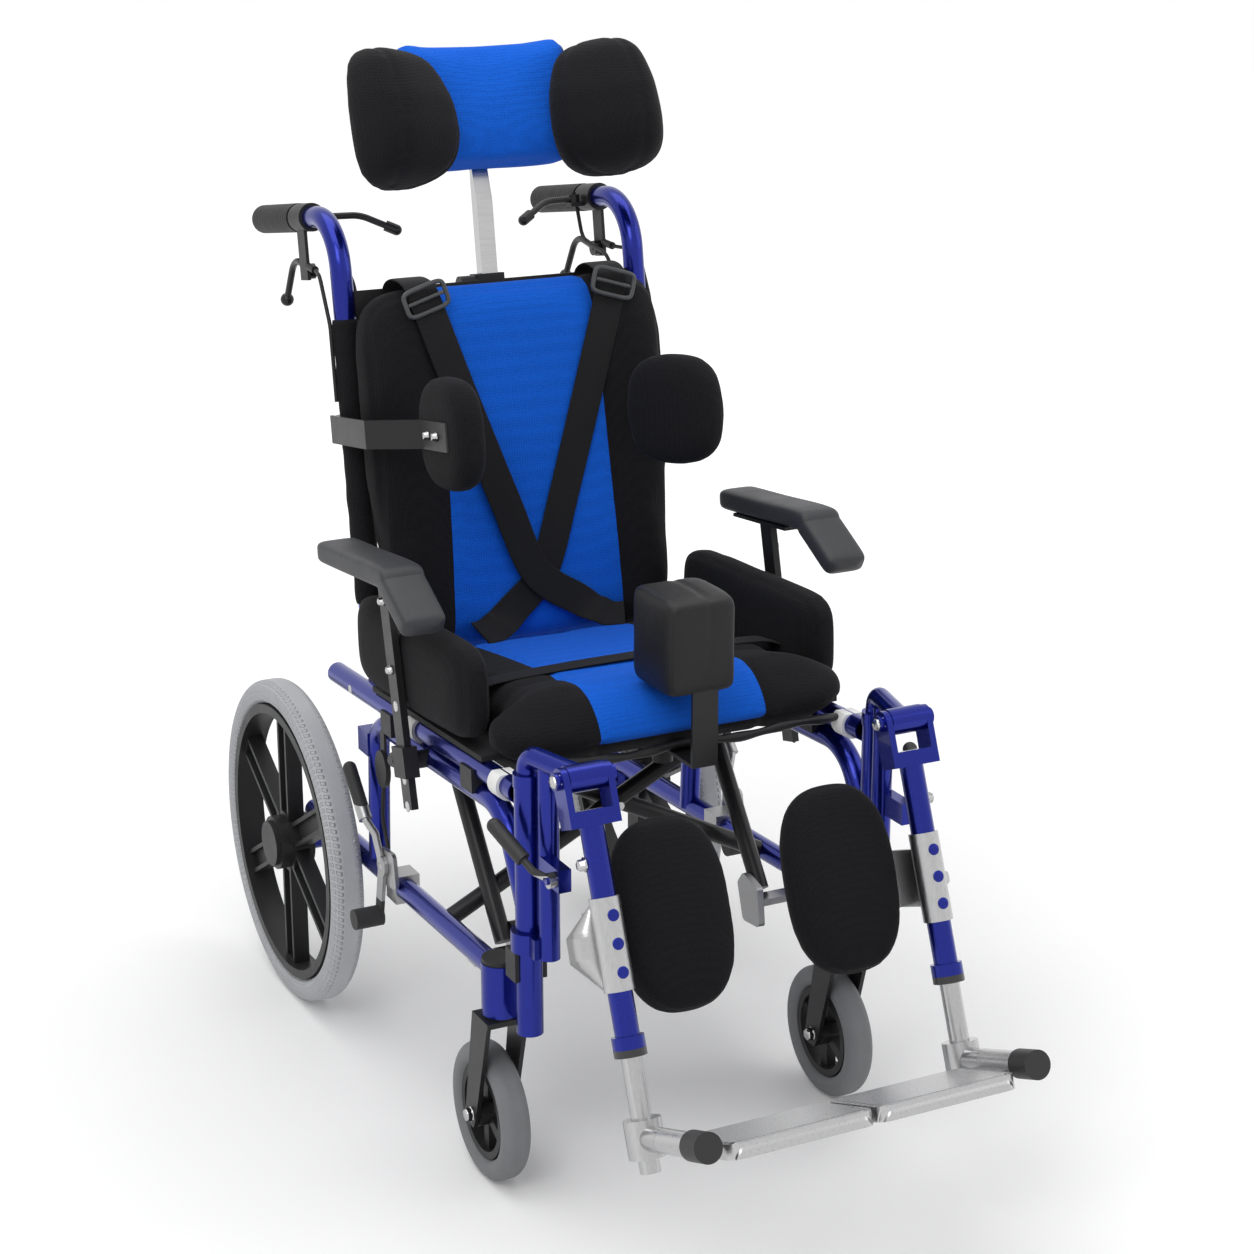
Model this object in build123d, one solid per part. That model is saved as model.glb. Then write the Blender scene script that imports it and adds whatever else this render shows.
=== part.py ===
from build123d import *
import math
import os

# Reclining positioning wheelchair, millimetres, +Z up, the chair faces -Y, +X is the sitter's left.
# The origin lies on the floor, below the middle of the chair's box.

# Fits
TOUCH = 0.05
RUN = 0.06
SLIDE = 0.1
GAP = 0.3

# Tubes
TUBE_R = 12.5
TUBE_WALL = 2.0
FRAME_X = 205.0

# Rear wheels
WHEEL_R = 200.0
WHEEL_X = 240.0
WHEEL_Y = 396.0
TYRE_W = 38.0
TYRE_H = 29.0
TYRE_ROUND = 12.0
RIM_DEPTH = 11.0
RIM_W = 34.0
HUB_R = 33.0
HUB_IN = 17.0
HUB_OUT = 31.0
SPOKES = 6
SPOKE_W = 30.0
SPOKE_T = 20.0
SPOKE_GROOVE = 7.0
AXLE_R = 6.0
AXLE_BOSS_R = 16.0

# Castors
CASTER_R = 76.0
CASTER_X = 212.0
CASTER_Y = -166.0
CASTER_TRAIL = 29.0
CASTER_TYRE_W = 32.0
CASTER_TYRE_H = 24.0
CASTER_TYRE_ROUND = 11.0
CASTER_HUB_R = 15.0
CASTER_HUB_W = 36.0
CASTER_SPOKES = 6
CASTER_AXLE_R = 4.0
FORK_LEG_T = 5.0
FORK_LEG_W = 27.0
FORK_TOP_W = 40.0
FORK_PLATE_T = 6.0
STEM_R = 8.0
STEM_L = 48.0
HOUSING_R = 20.0
HOUSING_LOW = 204.0
HOUSING_HIGH = 263.0

# Side frames
LOW_RAIL_REAR_Z = 229.0
LOW_RAIL_FRONT_Z = 251.0
UPRIGHT_LOW_Y = 192.0
UPRIGHT_TOP_Y = 182.0
TOP_RAIL_REAR_Z = 418.0
TOP_RAIL_FRONT_Y = -172.0
TOP_RAIL_FRONT_Z = 436.0
REAR_BEND_R = 38.0
FRONT_BEND_R = 62.0
POST_Y = -226.0
POST_R = 14.0
POST_LOW = 206.0
POST_HIGH = 478.0
POST_JOIN_Z = 340.0

# Seat
SEAT_Y = 24.0
SEAT_Z = 452.3
SEAT_RAKE = 3.05
RAIL_REAR = 288.0
RAIL_FRONT = -230.0
BOARD_T = 6.0
BOARD_HALF_W = 214.0
BOARD_REAR = 150.0
BOARD_FRONT = -157.0
CUSHION_HALF_W = 185.0
CUSHION_FLARE = 205.0
CUSHION_REAR = 160.0
CUSHION_FRONT = -216.0
CUSHION_REAR_H = 25.0
CUSHION_FRONT_H = 50.0

# Cross brace
CROSS_R = 10.0
CROSS_Y = -8.0
STRUT_R = 10.0
STRUT_X = 161.0
STRUT_LOW = (-62.0, 232.0)
STRUT_HIGH = (97.0, 441.0)
PLATE_T = 8.0

# Back
PIVOT_Y = 239.0
PIVOT_Z = 440.0
PIVOT_R = 5.0
BACK_ANGLE = 8.5
CANE_X = 185.0
CANE_LOW = 78.0
CANE_HIGH = 540.0
CANE_BEND_R = 62.0
GRIP_END = 242.0
GRIP_START = 122.0
GRIP_R = 17.0
LUG_T = 6.0
LUG_R = 16.0
SLEEVE_R = 15.0
BACK_WRAP = 11.0
BACK_HALF_W = CANE_X + BACK_WRAP
BACK_LOW = 38.0
BACK_HIGH = 458.0
BACK_T = 44.0
BACK_CROWN = 7.0
BAR_Z = 440.0
BAR_H = 30.0
BAR_T = 6.0

# Headrest
HEAD_POST_W = 20.0
HEAD_POST_T = 15.0
HEAD_POST_Y = 12.0
HEAD_POST_LOW = 385.0
HEAD_Z = 654.0
HEAD_Y = -31.0
HEAD_TILT = 12.5
HEAD_HALF_W = 80.0
HEAD_H = 140.0
HEAD_T = 58.0
HEAD_ROUND = 26.0
WING_L = 100.0
WING_T = 55.0
WING_H = 162.0
WING_TURN = 37.0
WING_X = 125.0
WING_Y = -38.0
WING_Z = -32.0
WING_ROUND = 24.0

# Side supports of the trunk
LATERAL_Z = 300.0
LATERAL_Y = -187.0
LATERAL_L = 122.0
LATERAL_H = 122.0
LATERAL_T = 36.0
LATERAL_ROUND = 46.0
LATERAL_FACE = 160.0
LATERAL_TURN = {"left": 26.0, "right": 0.0}
LATERAL_SHIFT = {"left": 10.0, "right": 0.0}
PLATE_REACH = 34.0
BRACKET_H = 32.0
BRACKET_T = 4.0
BRACKET_REACH = 20.0
BRACKET_X = CANE_X + BRACKET_REACH

# Harness
STRAP_W = 38.0
STRAP_T = 2.2
STRAP_TOP_X = 108.0
STRAP_LOW_X = 34.0
STRAP_TOP_Z = 452.0
STRAP_LOW_Z = 72.0

# Hand levers
COLLAR_Y = 80.0
COLLAR_L = 38.0
LEVER_Y = 101.0
LEVER_Z = 478.0
HAND_PIN_R = 3.0
HAND_ARM_R = 4.0
HAND_BALL_R = 8.0
RELEASE_X = 160.0
RELEASE_LEN = 78.0
RELEASE_TIP_L = 14.0
RELEASE_TIP_R = 6.5
CABLE_R = 2.3

# Armrests
ARM_X = 238.0
ARM_BAR_W = 24.0
ARM_BAR_T = 8.0
ARM_LEAN = 14.0
ARM_TOP_Y = 66.0
ARM_TOP_Z = 618.0
ARM_BAR_L = 248.0
CLAMP_DROP = 196.0
CLAMP_H = 34.0
CLAMP_WALL = 4.5
ARM_PAD_X = 253.0
ARM_PAD_W = 48.0
ARM_PAD_T = 24.0
ARM_PAD_REAR = 175.0
ARM_PAD_REAR_Z = 642.0
ARM_PAD_BEND = -14.0
ARM_PAD_BEND_Z = 660.0
ARM_PAD_TIP = -90.0
ARM_PAD_TIP_Z = 619.0
HIP_IN = 188.0
HIP_OUT = 229.0
HIP_REAR = 178.0
HIP_FRONT = -152.0
HIP_LOW = 20.6
HIP_HIGH = 132.0
HIP_ROUND = 40.0
HIP_EDGE = 12.0
HIP_BOLTS = (60.0, 105.0)

# Pommel
POMMEL_HALF_W = 40.0
POMMEL_FRONT = -226.0
POMMEL_REAR = -131.0
POMMEL_LOW = 549.0
POMMEL_HIGH = 645.0
POMMEL_ROUND = 26.0
POMMEL_BAR_W = 30.0
POMMEL_BAR_T = 4.0
POMMEL_BAR_Y = -218.0
POMMEL_BAR_LOW = 462.0
POMMEL_BAR_REAR = -90.0

# Leg rests
LEG_X = 184.0
LEG_Y = -312.0
LEG_Z = 513.0
LEG_ANGLE = 22.0
LEG_TUBE_L = 274.0
LEG_PIN_R = 5.0
BARREL_R = 14.0
BARREL_W = 40.0
CHEEK_T = 7.0
HANGER_Z = 512.0
HANGER_PIN_R = 10.0
HANGER_PIN_L = 60.0
DOWN_Y = -256.0
DOWN_X = 196.0
DOWN_R = 11.0
ARM_LOW_Z = 300.0
ARM_LOW_H = 22.0
LEVER_EYE = (209.0, -293.0, 402.0)
LEVER_TIP = (245.0, -234.0, 445.0)
SLEEVE_TOP = 118.0
SLEEVE_L = 92.0
SLEEVE_OUT_R = 15.5
CALF_PLATE_W = 90.0
CALF_PLATE_T = 5.0
CALF_PLATE_INSET = 16.0
CALF_W = 122.0
CALF_H = 196.0
CALF_T = 40.0
CALF_IN = 38.0
CALF_DROP = 150.0
CALF_BACK = 36.0
CALF_EDGE = 14.0
FOOT_R = 10.4
FOOT_TOP = 190.0
FOOT_BOTTOM = 388.0
BLOCK_R = 19.0
HINGE_DROP = 354.0
HINGE_START = 46.0
HINGE_END = 106.0
HINGE_OUT_R = 12.5
HINGE_R = 7.0
KNOB_R = 15.0
KNOB_L = 32.0
PLATE_ROUND = 14.0
TREAD_EDGE = 6.0
TREAD_RISE = 0.8
PLATE_MIDDLE = 2.0
PLATE_D = 108.0
PLATE_H = 15.0
PLATE_DROP = 3.0
RELEASE_ROD_R = 4.0
RELEASE_GRIP_R = 8.0

# Wheel locks
LOCK_Y = 123.0
LOCK_Z = 265.0
LOCK_X = 221.3
LOCK_PLATE_T = 4.5
LOCK_PIN_R = 4.0
SHOE_Y = 137.0
SHOE_Z = 198.5
SHOE_R = 12.0
SHOE_L = 34.0
LOCK_GRIP_R = 8.0
LOCK_GRIP_LOW = (146.0, 315.0)
LOCK_GRIP_HIGH = (192.0, 362.0)
GUARD_Y = 133.0
GUARD_Z = 378.0


def on_side(shape, sign):
    """A copy of a left-hand piece: itself for +1, its mirror image for -1."""
    return shape if sign > 0 else mirror(shape, about=Plane.YZ)


def rod(start, end, radius):
    """A round bar from one point to another."""
    a = Vector(*start)
    b = Vector(*end)
    place = Plane(origin=a, z_dir=b - a)
    return extrude(place * Circle(radius), (b - a).length)


def round_ended_rod(start, end, radius):
    """A round bar from one point to another with a half ball on its far end."""
    a = Vector(*start)
    b = Vector(*end)
    length = (b - a).length
    lean = radius * math.sqrt(0.5)
    outline = [
        Line((0, 0), (radius, 0)),
        Line((radius, 0), (radius, length)),
        ThreePointArc((radius, length), (lean, length + lean), (0, length + radius)),
        Line((0, length + radius), (0, 0)),
    ]
    turned = revolve(Plane.XZ * make_face(outline), Axis.Z)
    return Plane(origin=a, z_dir=b - a) * turned


def pipe(points, bends, radius):
    """A round bar along straight runs with a bend radius at each corner."""
    path = FilletPolyline(*points, radius=bends) if len(points) > 2 else Line(*points)
    return sweep(Plane(origin=path @ 0, z_dir=path % 0) * Circle(radius), path)


def block(x, y, z):
    """A box given by its limits on each axis."""
    return Pos((x[0] + x[1]) / 2, (y[0] + y[1]) / 2, (z[0] + z[1]) / 2) * Box(x[1] - x[0], y[1] - y[0],
            z[1] - z[0])


def plate_yz(points, x, rounding=0):
    """A flat plate with an outline in Y and Z, between two values of X."""
    face = make_face(Polyline(*[(p[0], p[1]) for p in points], close=True))
    if rounding:
        face = fillet(face.vertices(), rounding)
    return Pos(x[0], 0, 0) * extrude(Plane.YZ * face, x[1] - x[0])


def ring(radius_out, radius_in, length):
    """A tube along Z from 0 to its length."""
    return extrude(Circle(radius_out) - Circle(radius_in), length)


def save(name, *shapes):
    """Write the solids of one node to its file, with the origin below the middle of the chair."""
    solids = [Pos(0, -MIDDLE_Y, 0) * solid for shape in shapes for solid in shape.solids()]
    export_step(Compound(solids), f"parts/{name}.step")


def pad_section(width, low, high, crown, z_dir_plane):
    """A cushion's cross-section: flat base, bulging sides and a crowned top."""
    half = width / 2
    mid = (low + high) / 2
    side_in = 3.0
    outline = [
        Line((-half + side_in, low), (half - side_in, low)),
        ThreePointArc((half - side_in, low), (half, mid), (half - side_in, high)),
        ThreePointArc((half - side_in, high), (0, high + crown), (-half + side_in, high)),
        ThreePointArc((-half + side_in, high), (-half, mid), (-half + side_in, low)),
    ]
    return z_dir_plane * make_face(outline)


os.makedirs("parts", exist_ok=True)
SIDES = (("left", 1), ("right", -1))

# Middle of the chair between the rear of the tyres and the front of the foot knobs
LEG_SIN = math.sin(math.radians(LEG_ANGLE))
LEG_COS = math.cos(math.radians(LEG_ANGLE))
FRONT_Y = LEG_Y - (HINGE_END + KNOB_L) * LEG_COS - (HINGE_DROP + KNOB_R) * LEG_SIN
MIDDLE_Y = (WHEEL_Y + WHEEL_R + FRONT_Y) / 2

# Places that several pieces share
SEAT = Pos(0, SEAT_Y, SEAT_Z) * Rot(-SEAT_RAKE, 0, 0)
BACK = Pos(0, PIVOT_Y, PIVOT_Z) * Rot(-BACK_ANGLE, 0, 0)
ARM = Pos(ARM_X, ARM_TOP_Y, ARM_TOP_Z) * Rot(-ARM_LEAN, 0, 0)
LEG = Pos(LEG_X, LEG_Y, LEG_Z) * Rot(-LEG_ANGLE, 0, 0)
LOW_REAR = (FRAME_X, WHEEL_Y + AXLE_BOSS_R, LOW_RAIL_REAR_Z)
LOW_FRONT = (CASTER_X, CASTER_Y, LOW_RAIL_FRONT_Z)


def low_rail_z(y):
    """Height of the lower rail's middle at a place along the chair."""
    share = (LOW_REAR[1] - y) / (LOW_REAR[1] - LOW_FRONT[1])
    return LOW_RAIL_REAR_Z + share * (LOW_RAIL_FRONT_Z - LOW_RAIL_REAR_Z)


def rail_z(y):
    """Height of the seat rail's middle at a place along the chair."""
    return SEAT_Z - math.tan(math.radians(SEAT_RAKE)) * (y - SEAT_Y)


TOP_RAIL_PATH = (
    (FRAME_X, UPRIGHT_LOW_Y, low_rail_z(UPRIGHT_LOW_Y)),
    (FRAME_X, UPRIGHT_TOP_Y, TOP_RAIL_REAR_Z),
    (FRAME_X, TOP_RAIL_FRONT_Y, TOP_RAIL_FRONT_Z),
    (FRAME_X, POST_Y, POST_JOIN_Z),
)


def side_frame():
    """Lower rail, bent upper tube, leg-rest post, castor housing and axle boss, welded into one."""
    post = Pos(FRAME_X, POST_Y, POST_LOW) * Cylinder(POST_R, POST_HIGH - POST_LOW,
            align=(Align.CENTER, Align.CENTER, Align.MIN))
    housing = Pos(CASTER_X, CASTER_Y, HOUSING_LOW) * Cylinder(
        HOUSING_R, HOUSING_HIGH - HOUSING_LOW, align=(Align.CENTER, Align.CENTER, Align.MIN))
    boss = rod((FRAME_X - AXLE_BOSS_R, WHEEL_Y, WHEEL_R), (FRAME_X + TUBE_R, WHEEL_Y, WHEEL_R), AXLE_BOSS_R)
    boss_plate = block((FRAME_X - 5, FRAME_X + 5), (WHEEL_Y - AXLE_BOSS_R, WHEEL_Y + AXLE_BOSS_R),
            (WHEEL_R, LOW_RAIL_REAR_Z))
    link = block((FRAME_X, FRAME_X + 6), (POST_Y, CASTER_Y), (HOUSING_LOW + 6, HOUSING_HIGH - 6))
    ear = block((FRAME_X - 4, FRAME_X + TUBE_R + 2), (UPRIGHT_TOP_Y, UPRIGHT_TOP_Y + 30),
            (TOP_RAIL_REAR_Z - 42, TOP_RAIL_REAR_Z - 14))
    body = rod(LOW_REAR, LOW_FRONT, TUBE_R) + pipe(TOP_RAIL_PATH, [REAR_BEND_R, FRONT_BEND_R], TUBE_R)
    body = body + post + housing + boss + boss_plate + link + ear
    inner = TUBE_R - TUBE_WALL
    hollow = pipe(TOP_RAIL_PATH, [REAR_BEND_R, FRONT_BEND_R], inner) + rod(LOW_REAR, LOW_FRONT, inner)
    body = body - hollow
    stem_bore = Pos(CASTER_X, CASTER_Y, HOUSING_LOW) * Cylinder(
        STEM_R + RUN, HOUSING_HIGH - HOUSING_LOW, align=(Align.CENTER, Align.CENTER, Align.MIN))
    pin_bore = Pos(FRAME_X, POST_Y, POST_HIGH) * Cylinder(
        HANGER_PIN_R + RUN, HANGER_PIN_L + 2, align=(Align.CENTER, Align.CENTER, Align.MAX))
    axle_bore = rod((FRAME_X - AXLE_BOSS_R, WHEEL_Y, WHEEL_R), (FRAME_X + TUBE_R, WHEEL_Y, WHEEL_R),
            AXLE_R + TOUCH)
    return body - stem_bore - pin_bore - axle_bore


FRAME = side_frame()
TOP_RAIL_SOLID = pipe(TOP_RAIL_PATH, [REAR_BEND_R, FRONT_BEND_R], TUBE_R + TOUCH)
LOW_RAIL_SOLID = rod(LOW_REAR, LOW_FRONT, TUBE_R + TOUCH)
for name, sign in SIDES:
    save(f"{name}_side_frame", on_side(FRAME, sign))


def seat_rail(radius):
    """The straight tube that carries one side of the seat."""
    return SEAT * rod((FRAME_X, RAIL_REAR, 0), (FRAME_X, RAIL_FRONT, 0), radius)


def seat_rails():
    """Both seat tubes, bored for the back's pivot pins."""
    tube = seat_rail(TUBE_R) - seat_rail(TUBE_R - TUBE_WALL)
    pin = rod((CANE_X - 20, PIVOT_Y, PIVOT_Z), (FRAME_X + TUBE_R + 1, PIVOT_Y, PIVOT_Z), PIVOT_R + TOUCH)
    return [on_side(tube - pin, sign) for _, sign in SIDES]


save("seat_rails", *seat_rails())


def rear_axles():
    """Bolts on which the rear wheels turn, with a head inside the frame."""
    shank = rod((FRAME_X - AXLE_BOSS_R, WHEEL_Y, WHEEL_R), (WHEEL_X + HUB_OUT - 8, WHEEL_Y, WHEEL_R),
            AXLE_R)
    head = rod((FRAME_X - AXLE_BOSS_R - 8, WHEEL_Y, WHEEL_R), (FRAME_X - AXLE_BOSS_R, WHEEL_Y, WHEEL_R),
            AXLE_R + 4)
    collar = rod((FRAME_X + TUBE_R, WHEEL_Y, WHEEL_R), (WHEEL_X - HUB_IN - GAP, WHEEL_Y, WHEEL_R),
            AXLE_R + 4)
    return [on_side(shank + head + collar, sign) for _, sign in SIDES]


def tyre(radius, width, height, rounding):
    """A solid tyre about the X axis."""
    section = Pos(0, radius - height / 2) * RectangleRounded(width, height, rounding)
    return revolve(section, Axis.X)


def wheel_centre():
    """Rim, six channelled spokes and hub of a moulded rear wheel about the X axis."""
    seat = WHEEL_R - TYRE_H - TOUCH
    well = seat - RIM_DEPTH
    rim = revolve(Pos(0, (seat + well) / 2) * Rectangle(RIM_W, RIM_DEPTH), Axis.X)
    hub = rod((-HUB_IN, 0, 0), (HUB_OUT - 6, 0, 0), HUB_R)
    cap = rod((HUB_OUT - 6, 0, 0), (HUB_OUT, 0, 0), HUB_R - 5)
    spoke = block((-SPOKE_T / 2, SPOKE_T / 2), (-SPOKE_W / 2, SPOKE_W / 2), (HUB_R - 6, well + 2))
    wall = SPOKE_W / 2 - 5
    groove = block((SPOKE_T / 2 - SPOKE_GROOVE, SPOKE_T / 2), (-wall, wall), (HUB_R + 4, well - 4))
    body = rim + hub + cap
    for turn in range(SPOKES):
        body = body + Rot(turn * 360 / SPOKES, 0, 0) * (spoke - groove)
    bore = rod((-HUB_IN, 0, 0), (HUB_OUT - 7, 0, 0), AXLE_R + RUN)
    return body - bore


WHEEL = Pos(WHEEL_X, WHEEL_Y, WHEEL_R)
WHEEL_BODY = WHEEL * wheel_centre()
WHEEL_TYRE = WHEEL * tyre(WHEEL_R, TYRE_W, TYRE_H, TYRE_ROUND)
for name, sign in SIDES:
    save(f"{name}_wheel", on_side(WHEEL_BODY, sign))
    save(f"{name}_tyre", on_side(WHEEL_TYRE, sign))


def caster_fork():
    """Swivel stem, bridge and two legs, with the axle bolt as a solid of its own."""
    inside = CASTER_HUB_W / 2 + 1
    outside = inside + FORK_LEG_T
    axle_y = CASTER_Y + CASTER_TRAIL
    top = HOUSING_LOW - 2
    stem = Pos(CASTER_X, CASTER_Y, top - 1) * Cylinder(STEM_R, STEM_L,
            align=(Align.CENTER, Align.CENTER, Align.MIN))
    collar = Pos(CASTER_X, CASTER_Y, top - FORK_PLATE_T) * Cylinder(
        HOUSING_R - 1, FORK_PLATE_T + 2 - GAP, align=(Align.CENTER, Align.CENTER, Align.MIN))
    bridge = block((CASTER_X - outside, CASTER_X + outside),
            (CASTER_Y - FORK_TOP_W / 2, CASTER_Y + FORK_TOP_W / 2),
                   (top - FORK_PLATE_T, top))
    leg_outline = (
        (CASTER_Y - FORK_TOP_W / 2, top),
        (CASTER_Y + FORK_TOP_W / 2, top),
        (axle_y + FORK_LEG_W / 2, CASTER_R),
        (axle_y + FORK_LEG_W / 4, CASTER_R - FORK_LEG_W / 2),
        (axle_y - FORK_LEG_W / 4, CASTER_R - FORK_LEG_W / 2),
        (axle_y - FORK_LEG_W / 2, CASTER_R),
    )
    leg = plate_yz(leg_outline, (inside, outside))
    body = stem + collar + bridge + Pos(CASTER_X, 0, 0) * (leg + mirror(leg, about=Plane.YZ))
    hole = rod((CASTER_X - outside, axle_y, CASTER_R), (CASTER_X + outside, axle_y, CASTER_R),
            CASTER_AXLE_R + TOUCH)
    bolt = rod((CASTER_X - outside - 1, axle_y, CASTER_R), (CASTER_X + outside + 1, axle_y, CASTER_R),
            CASTER_AXLE_R)
    for end in (-1, 1):
        bolt = bolt + rod((CASTER_X + end * outside, axle_y, CASTER_R),
                (CASTER_X + end * (outside + 5), axle_y, CASTER_R),
                          CASTER_AXLE_R + 3.5)
    return body - hole, bolt


def caster_hub():
    """Castor wheel centre with a ring, spokes and a bored hub about the X axis."""
    seat = CASTER_R - CASTER_TYRE_H - TOUCH
    rim = revolve(Pos(0, seat - 4) * Rectangle(CASTER_TYRE_W - 8, 8), Axis.X)
    body = rim + rod((-CASTER_HUB_W / 2, 0, 0), (CASTER_HUB_W / 2, 0, 0), CASTER_HUB_R)
    spoke = block((-6, 6), (-6, 6), (CASTER_HUB_R - 3, seat - 6))
    for turn in range(CASTER_SPOKES):
        body = body + Rot(turn * 360 / CASTER_SPOKES, 0, 0) * spoke
    return body - rod((-CASTER_HUB_W / 2, 0, 0), (CASTER_HUB_W / 2, 0, 0), CASTER_AXLE_R + RUN)


CASTER = Pos(CASTER_X, CASTER_Y + CASTER_TRAIL, CASTER_R)
FORK, FORK_BOLT = caster_fork()
CASTER_CENTRE = CASTER * caster_hub()
CASTER_TYRE = CASTER * tyre(CASTER_R, CASTER_TYRE_W, CASTER_TYRE_H, CASTER_TYRE_ROUND)
for name, sign in SIDES:
    save(f"{name}_caster_fork", on_side(FORK, sign), on_side(FORK_BOLT, sign))
    save(f"{name}_caster_hub", on_side(CASTER_CENTRE, sign))
    save(f"{name}_caster_tyre", on_side(CASTER_TYRE, sign))


def brace_bolt_z():
    """Height at which the brace tubes cross."""
    y = CROSS_Y + CROSS_R + 0.5
    return (low_rail_z(y) + rail_z(y)) / 2


def cross_tubes():
    """Two tubes that cross below the seat, coped to the rails and drilled for the pivot bolt."""
    tubes = []
    cross_z = brace_bolt_z()
    for index, sign in enumerate((1, -1)):
        y = CROSS_Y + index * (2 * CROSS_R + 1)
        low = (-sign * FRAME_X, y, low_rail_z(y))
        high = (sign * FRAME_X, y, rail_z(y))
        tube = rod(low, high, CROSS_R)
        tube = tube - on_side(LOW_RAIL_SOLID, -sign) - on_side(seat_rail(TUBE_R + TOUCH), sign)
        tube = tube - on_side(TOP_RAIL_SOLID, sign)
        tube = tube - rod((0, y - 2 * CROSS_R, cross_z), (0, y + 2 * CROSS_R, cross_z), PIVOT_R + TOUCH)
        tubes.append(max(tube.solids(), key=lambda solid: solid.volume))
    return tubes


def brace_struts():
    """Slanted tubes from the hinge plates at the lower rails up to the seat board."""
    under = SEAT * block((-300, 300), (-300, 300), (TUBE_R + TOUCH, 60))
    low = Vector(STRUT_X, *STRUT_LOW)
    high = Vector(STRUT_X, *STRUT_HIGH)
    far = low + (high - low) * 1.2
    tube = rod(tuple(low), tuple(far), STRUT_R) - under
    return [on_side(tube, sign) for _, sign in SIDES]


def strut_plates():
    """Steel hinge plates that tie the foot of each strut to the lower rail."""
    y, z = STRUT_LOW
    cheek = plate_yz(((y - 30, z - 34), (y + 8, z - 38), (y + 22, z + 4), (y + 10, z + 20),
            (y - 24, z + 12)),
                     (STRUT_X - STRUT_R - PLATE_T, STRUT_X - STRUT_R - TOUCH), 6)
    arm = block((STRUT_X - STRUT_R - PLATE_T, FRAME_X), (y - 22, y - 2), (z - 12, z - 12 + PLATE_T))
    arm = arm - LOW_RAIL_SOLID
    arm = max(arm.solids(), key=lambda solid: solid.volume)
    strut = brace_struts()[0]
    return [on_side(cheek + arm - strut, sign) for _, sign in SIDES]


save("cross_brace", *cross_tubes(), *brace_struts())

# Seat board and cushion, in the raked frame of the rails
BOARD_LOW = TUBE_R + TOUCH
BOARD_TOP = BOARD_LOW + BOARD_T


def seat_cushion():
    """Wedge cushion with a crowned top that flares at its front roll."""
    low = BOARD_TOP + TOUCH
    stations = (
        (CUSHION_REAR, CUSHION_HALF_W - 6, 0, CUSHION_REAR_H - 4, 2),
        (CUSHION_REAR - 20, CUSHION_HALF_W, 0, CUSHION_REAR_H, 3),
        (0, CUSHION_HALF_W, 0, (CUSHION_REAR_H + CUSHION_FRONT_H) / 2, 4),
        (HIP_FRONT - 6, CUSHION_HALF_W, 0, CUSHION_FRONT_H - 4, 5),
        (HIP_FRONT - 16, CUSHION_FLARE, -4, CUSHION_FRONT_H - 2, 5),
        (CUSHION_FRONT + 16, CUSHION_FLARE - 2, -4, CUSHION_FRONT_H - 8, 5),
        (CUSHION_FRONT, CUSHION_FLARE - 14, 6, CUSHION_FRONT_H - 28, 3),
    )
    sections = []
    for y, half, lift, high, crown in stations:
        plane = Plane(origin=(0, y, 0), x_dir=(1, 0, 0), z_dir=(0, -1, 0))
        sections.append(pad_section(2 * half, low + lift, low + high, crown, plane))
    return SEAT * loft(sections, ruled=True)


save("seat_board", SEAT * block((-BOARD_HALF_W, BOARD_HALF_W), (BOARD_FRONT, BOARD_REAR),
        (BOARD_LOW, BOARD_TOP)))
save("seat_cushion", seat_cushion())

# Small fittings of the frame
RING_PLACES = (-186.0, 40.0)
SADDLE_PLACES = (-130.0, 96.0)


def rail_rings():
    """White nylon collars round the seat rails."""
    rings = []
    for place in RING_PLACES:
        collar = SEAT * Pos(FRAME_X, place, 0) * Rot(90, 0, 0) * ring(TUBE_R + 3.5, TUBE_R + TOUCH, 22)
        collar = collar - TOP_RAIL_SOLID - SEAT * block((0, 300), (-300, 300), (BOARD_LOW - TOUCH, 60))
        rings += [on_side(collar, sign) for _, sign in SIDES]
    return rings


def rail_saddles():
    """Blocks that seat the seat rails on the side frames."""
    saddles = []
    for place in SADDLE_PLACES:
        lump = SEAT * block((FRAME_X - 16, FRAME_X + 16), (place - 15, place + 15), (-24, 2))
        lump = lump - seat_rail(TUBE_R + TOUCH) - TOP_RAIL_SOLID
        saddles += [on_side(lump, sign) for _, sign in SIDES]
    return saddles


def caster_caps():
    """Round caps on the castor housings."""
    cap = Pos(CASTER_X, CASTER_Y, HOUSING_HIGH + TOUCH) * Cylinder(
        HOUSING_R - 1, 5, align=(Align.CENTER, Align.CENTER, Align.MIN)) - LOW_RAIL_SOLID
    return [on_side(cap, sign) for _, sign in SIDES]


def post_latches():
    """Black latch blocks clamped round the leg-rest posts."""
    lump = block((FRAME_X - 18, FRAME_X + 18), (POST_Y - 4, POST_Y + 20), (ARM_LOW_Z - 34, ARM_LOW_Z - 1))
    lump = lump - Pos(FRAME_X, POST_Y, 0) * Cylinder(POST_R + TOUCH, 1000)
    return [on_side(lump, sign) for _, sign in SIDES]


def pommel_guide():
    """Guide below the seat board that holds the pommel bracket."""
    deep = POMMEL_BAR_LOW - 6
    guide = block((-24, 24), (-150, -104), (deep, 500)) - SEAT * block((-300, 300), (-300, 300),
            (BOARD_LOW - TOUCH, 100))
    slot = block((-POMMEL_BAR_W / 2 - 0.2, POMMEL_BAR_W / 2 + 0.2), (-300, 0),
                 (POMMEL_BAR_LOW - 0.2, POMMEL_BAR_LOW + POMMEL_BAR_T + 0.2))
    knob = Pos(0, -127, deep - 18) * Cylinder(11, 18, align=(Align.CENTER, Align.CENTER, Align.MIN))
    return guide - slot + knob


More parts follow.
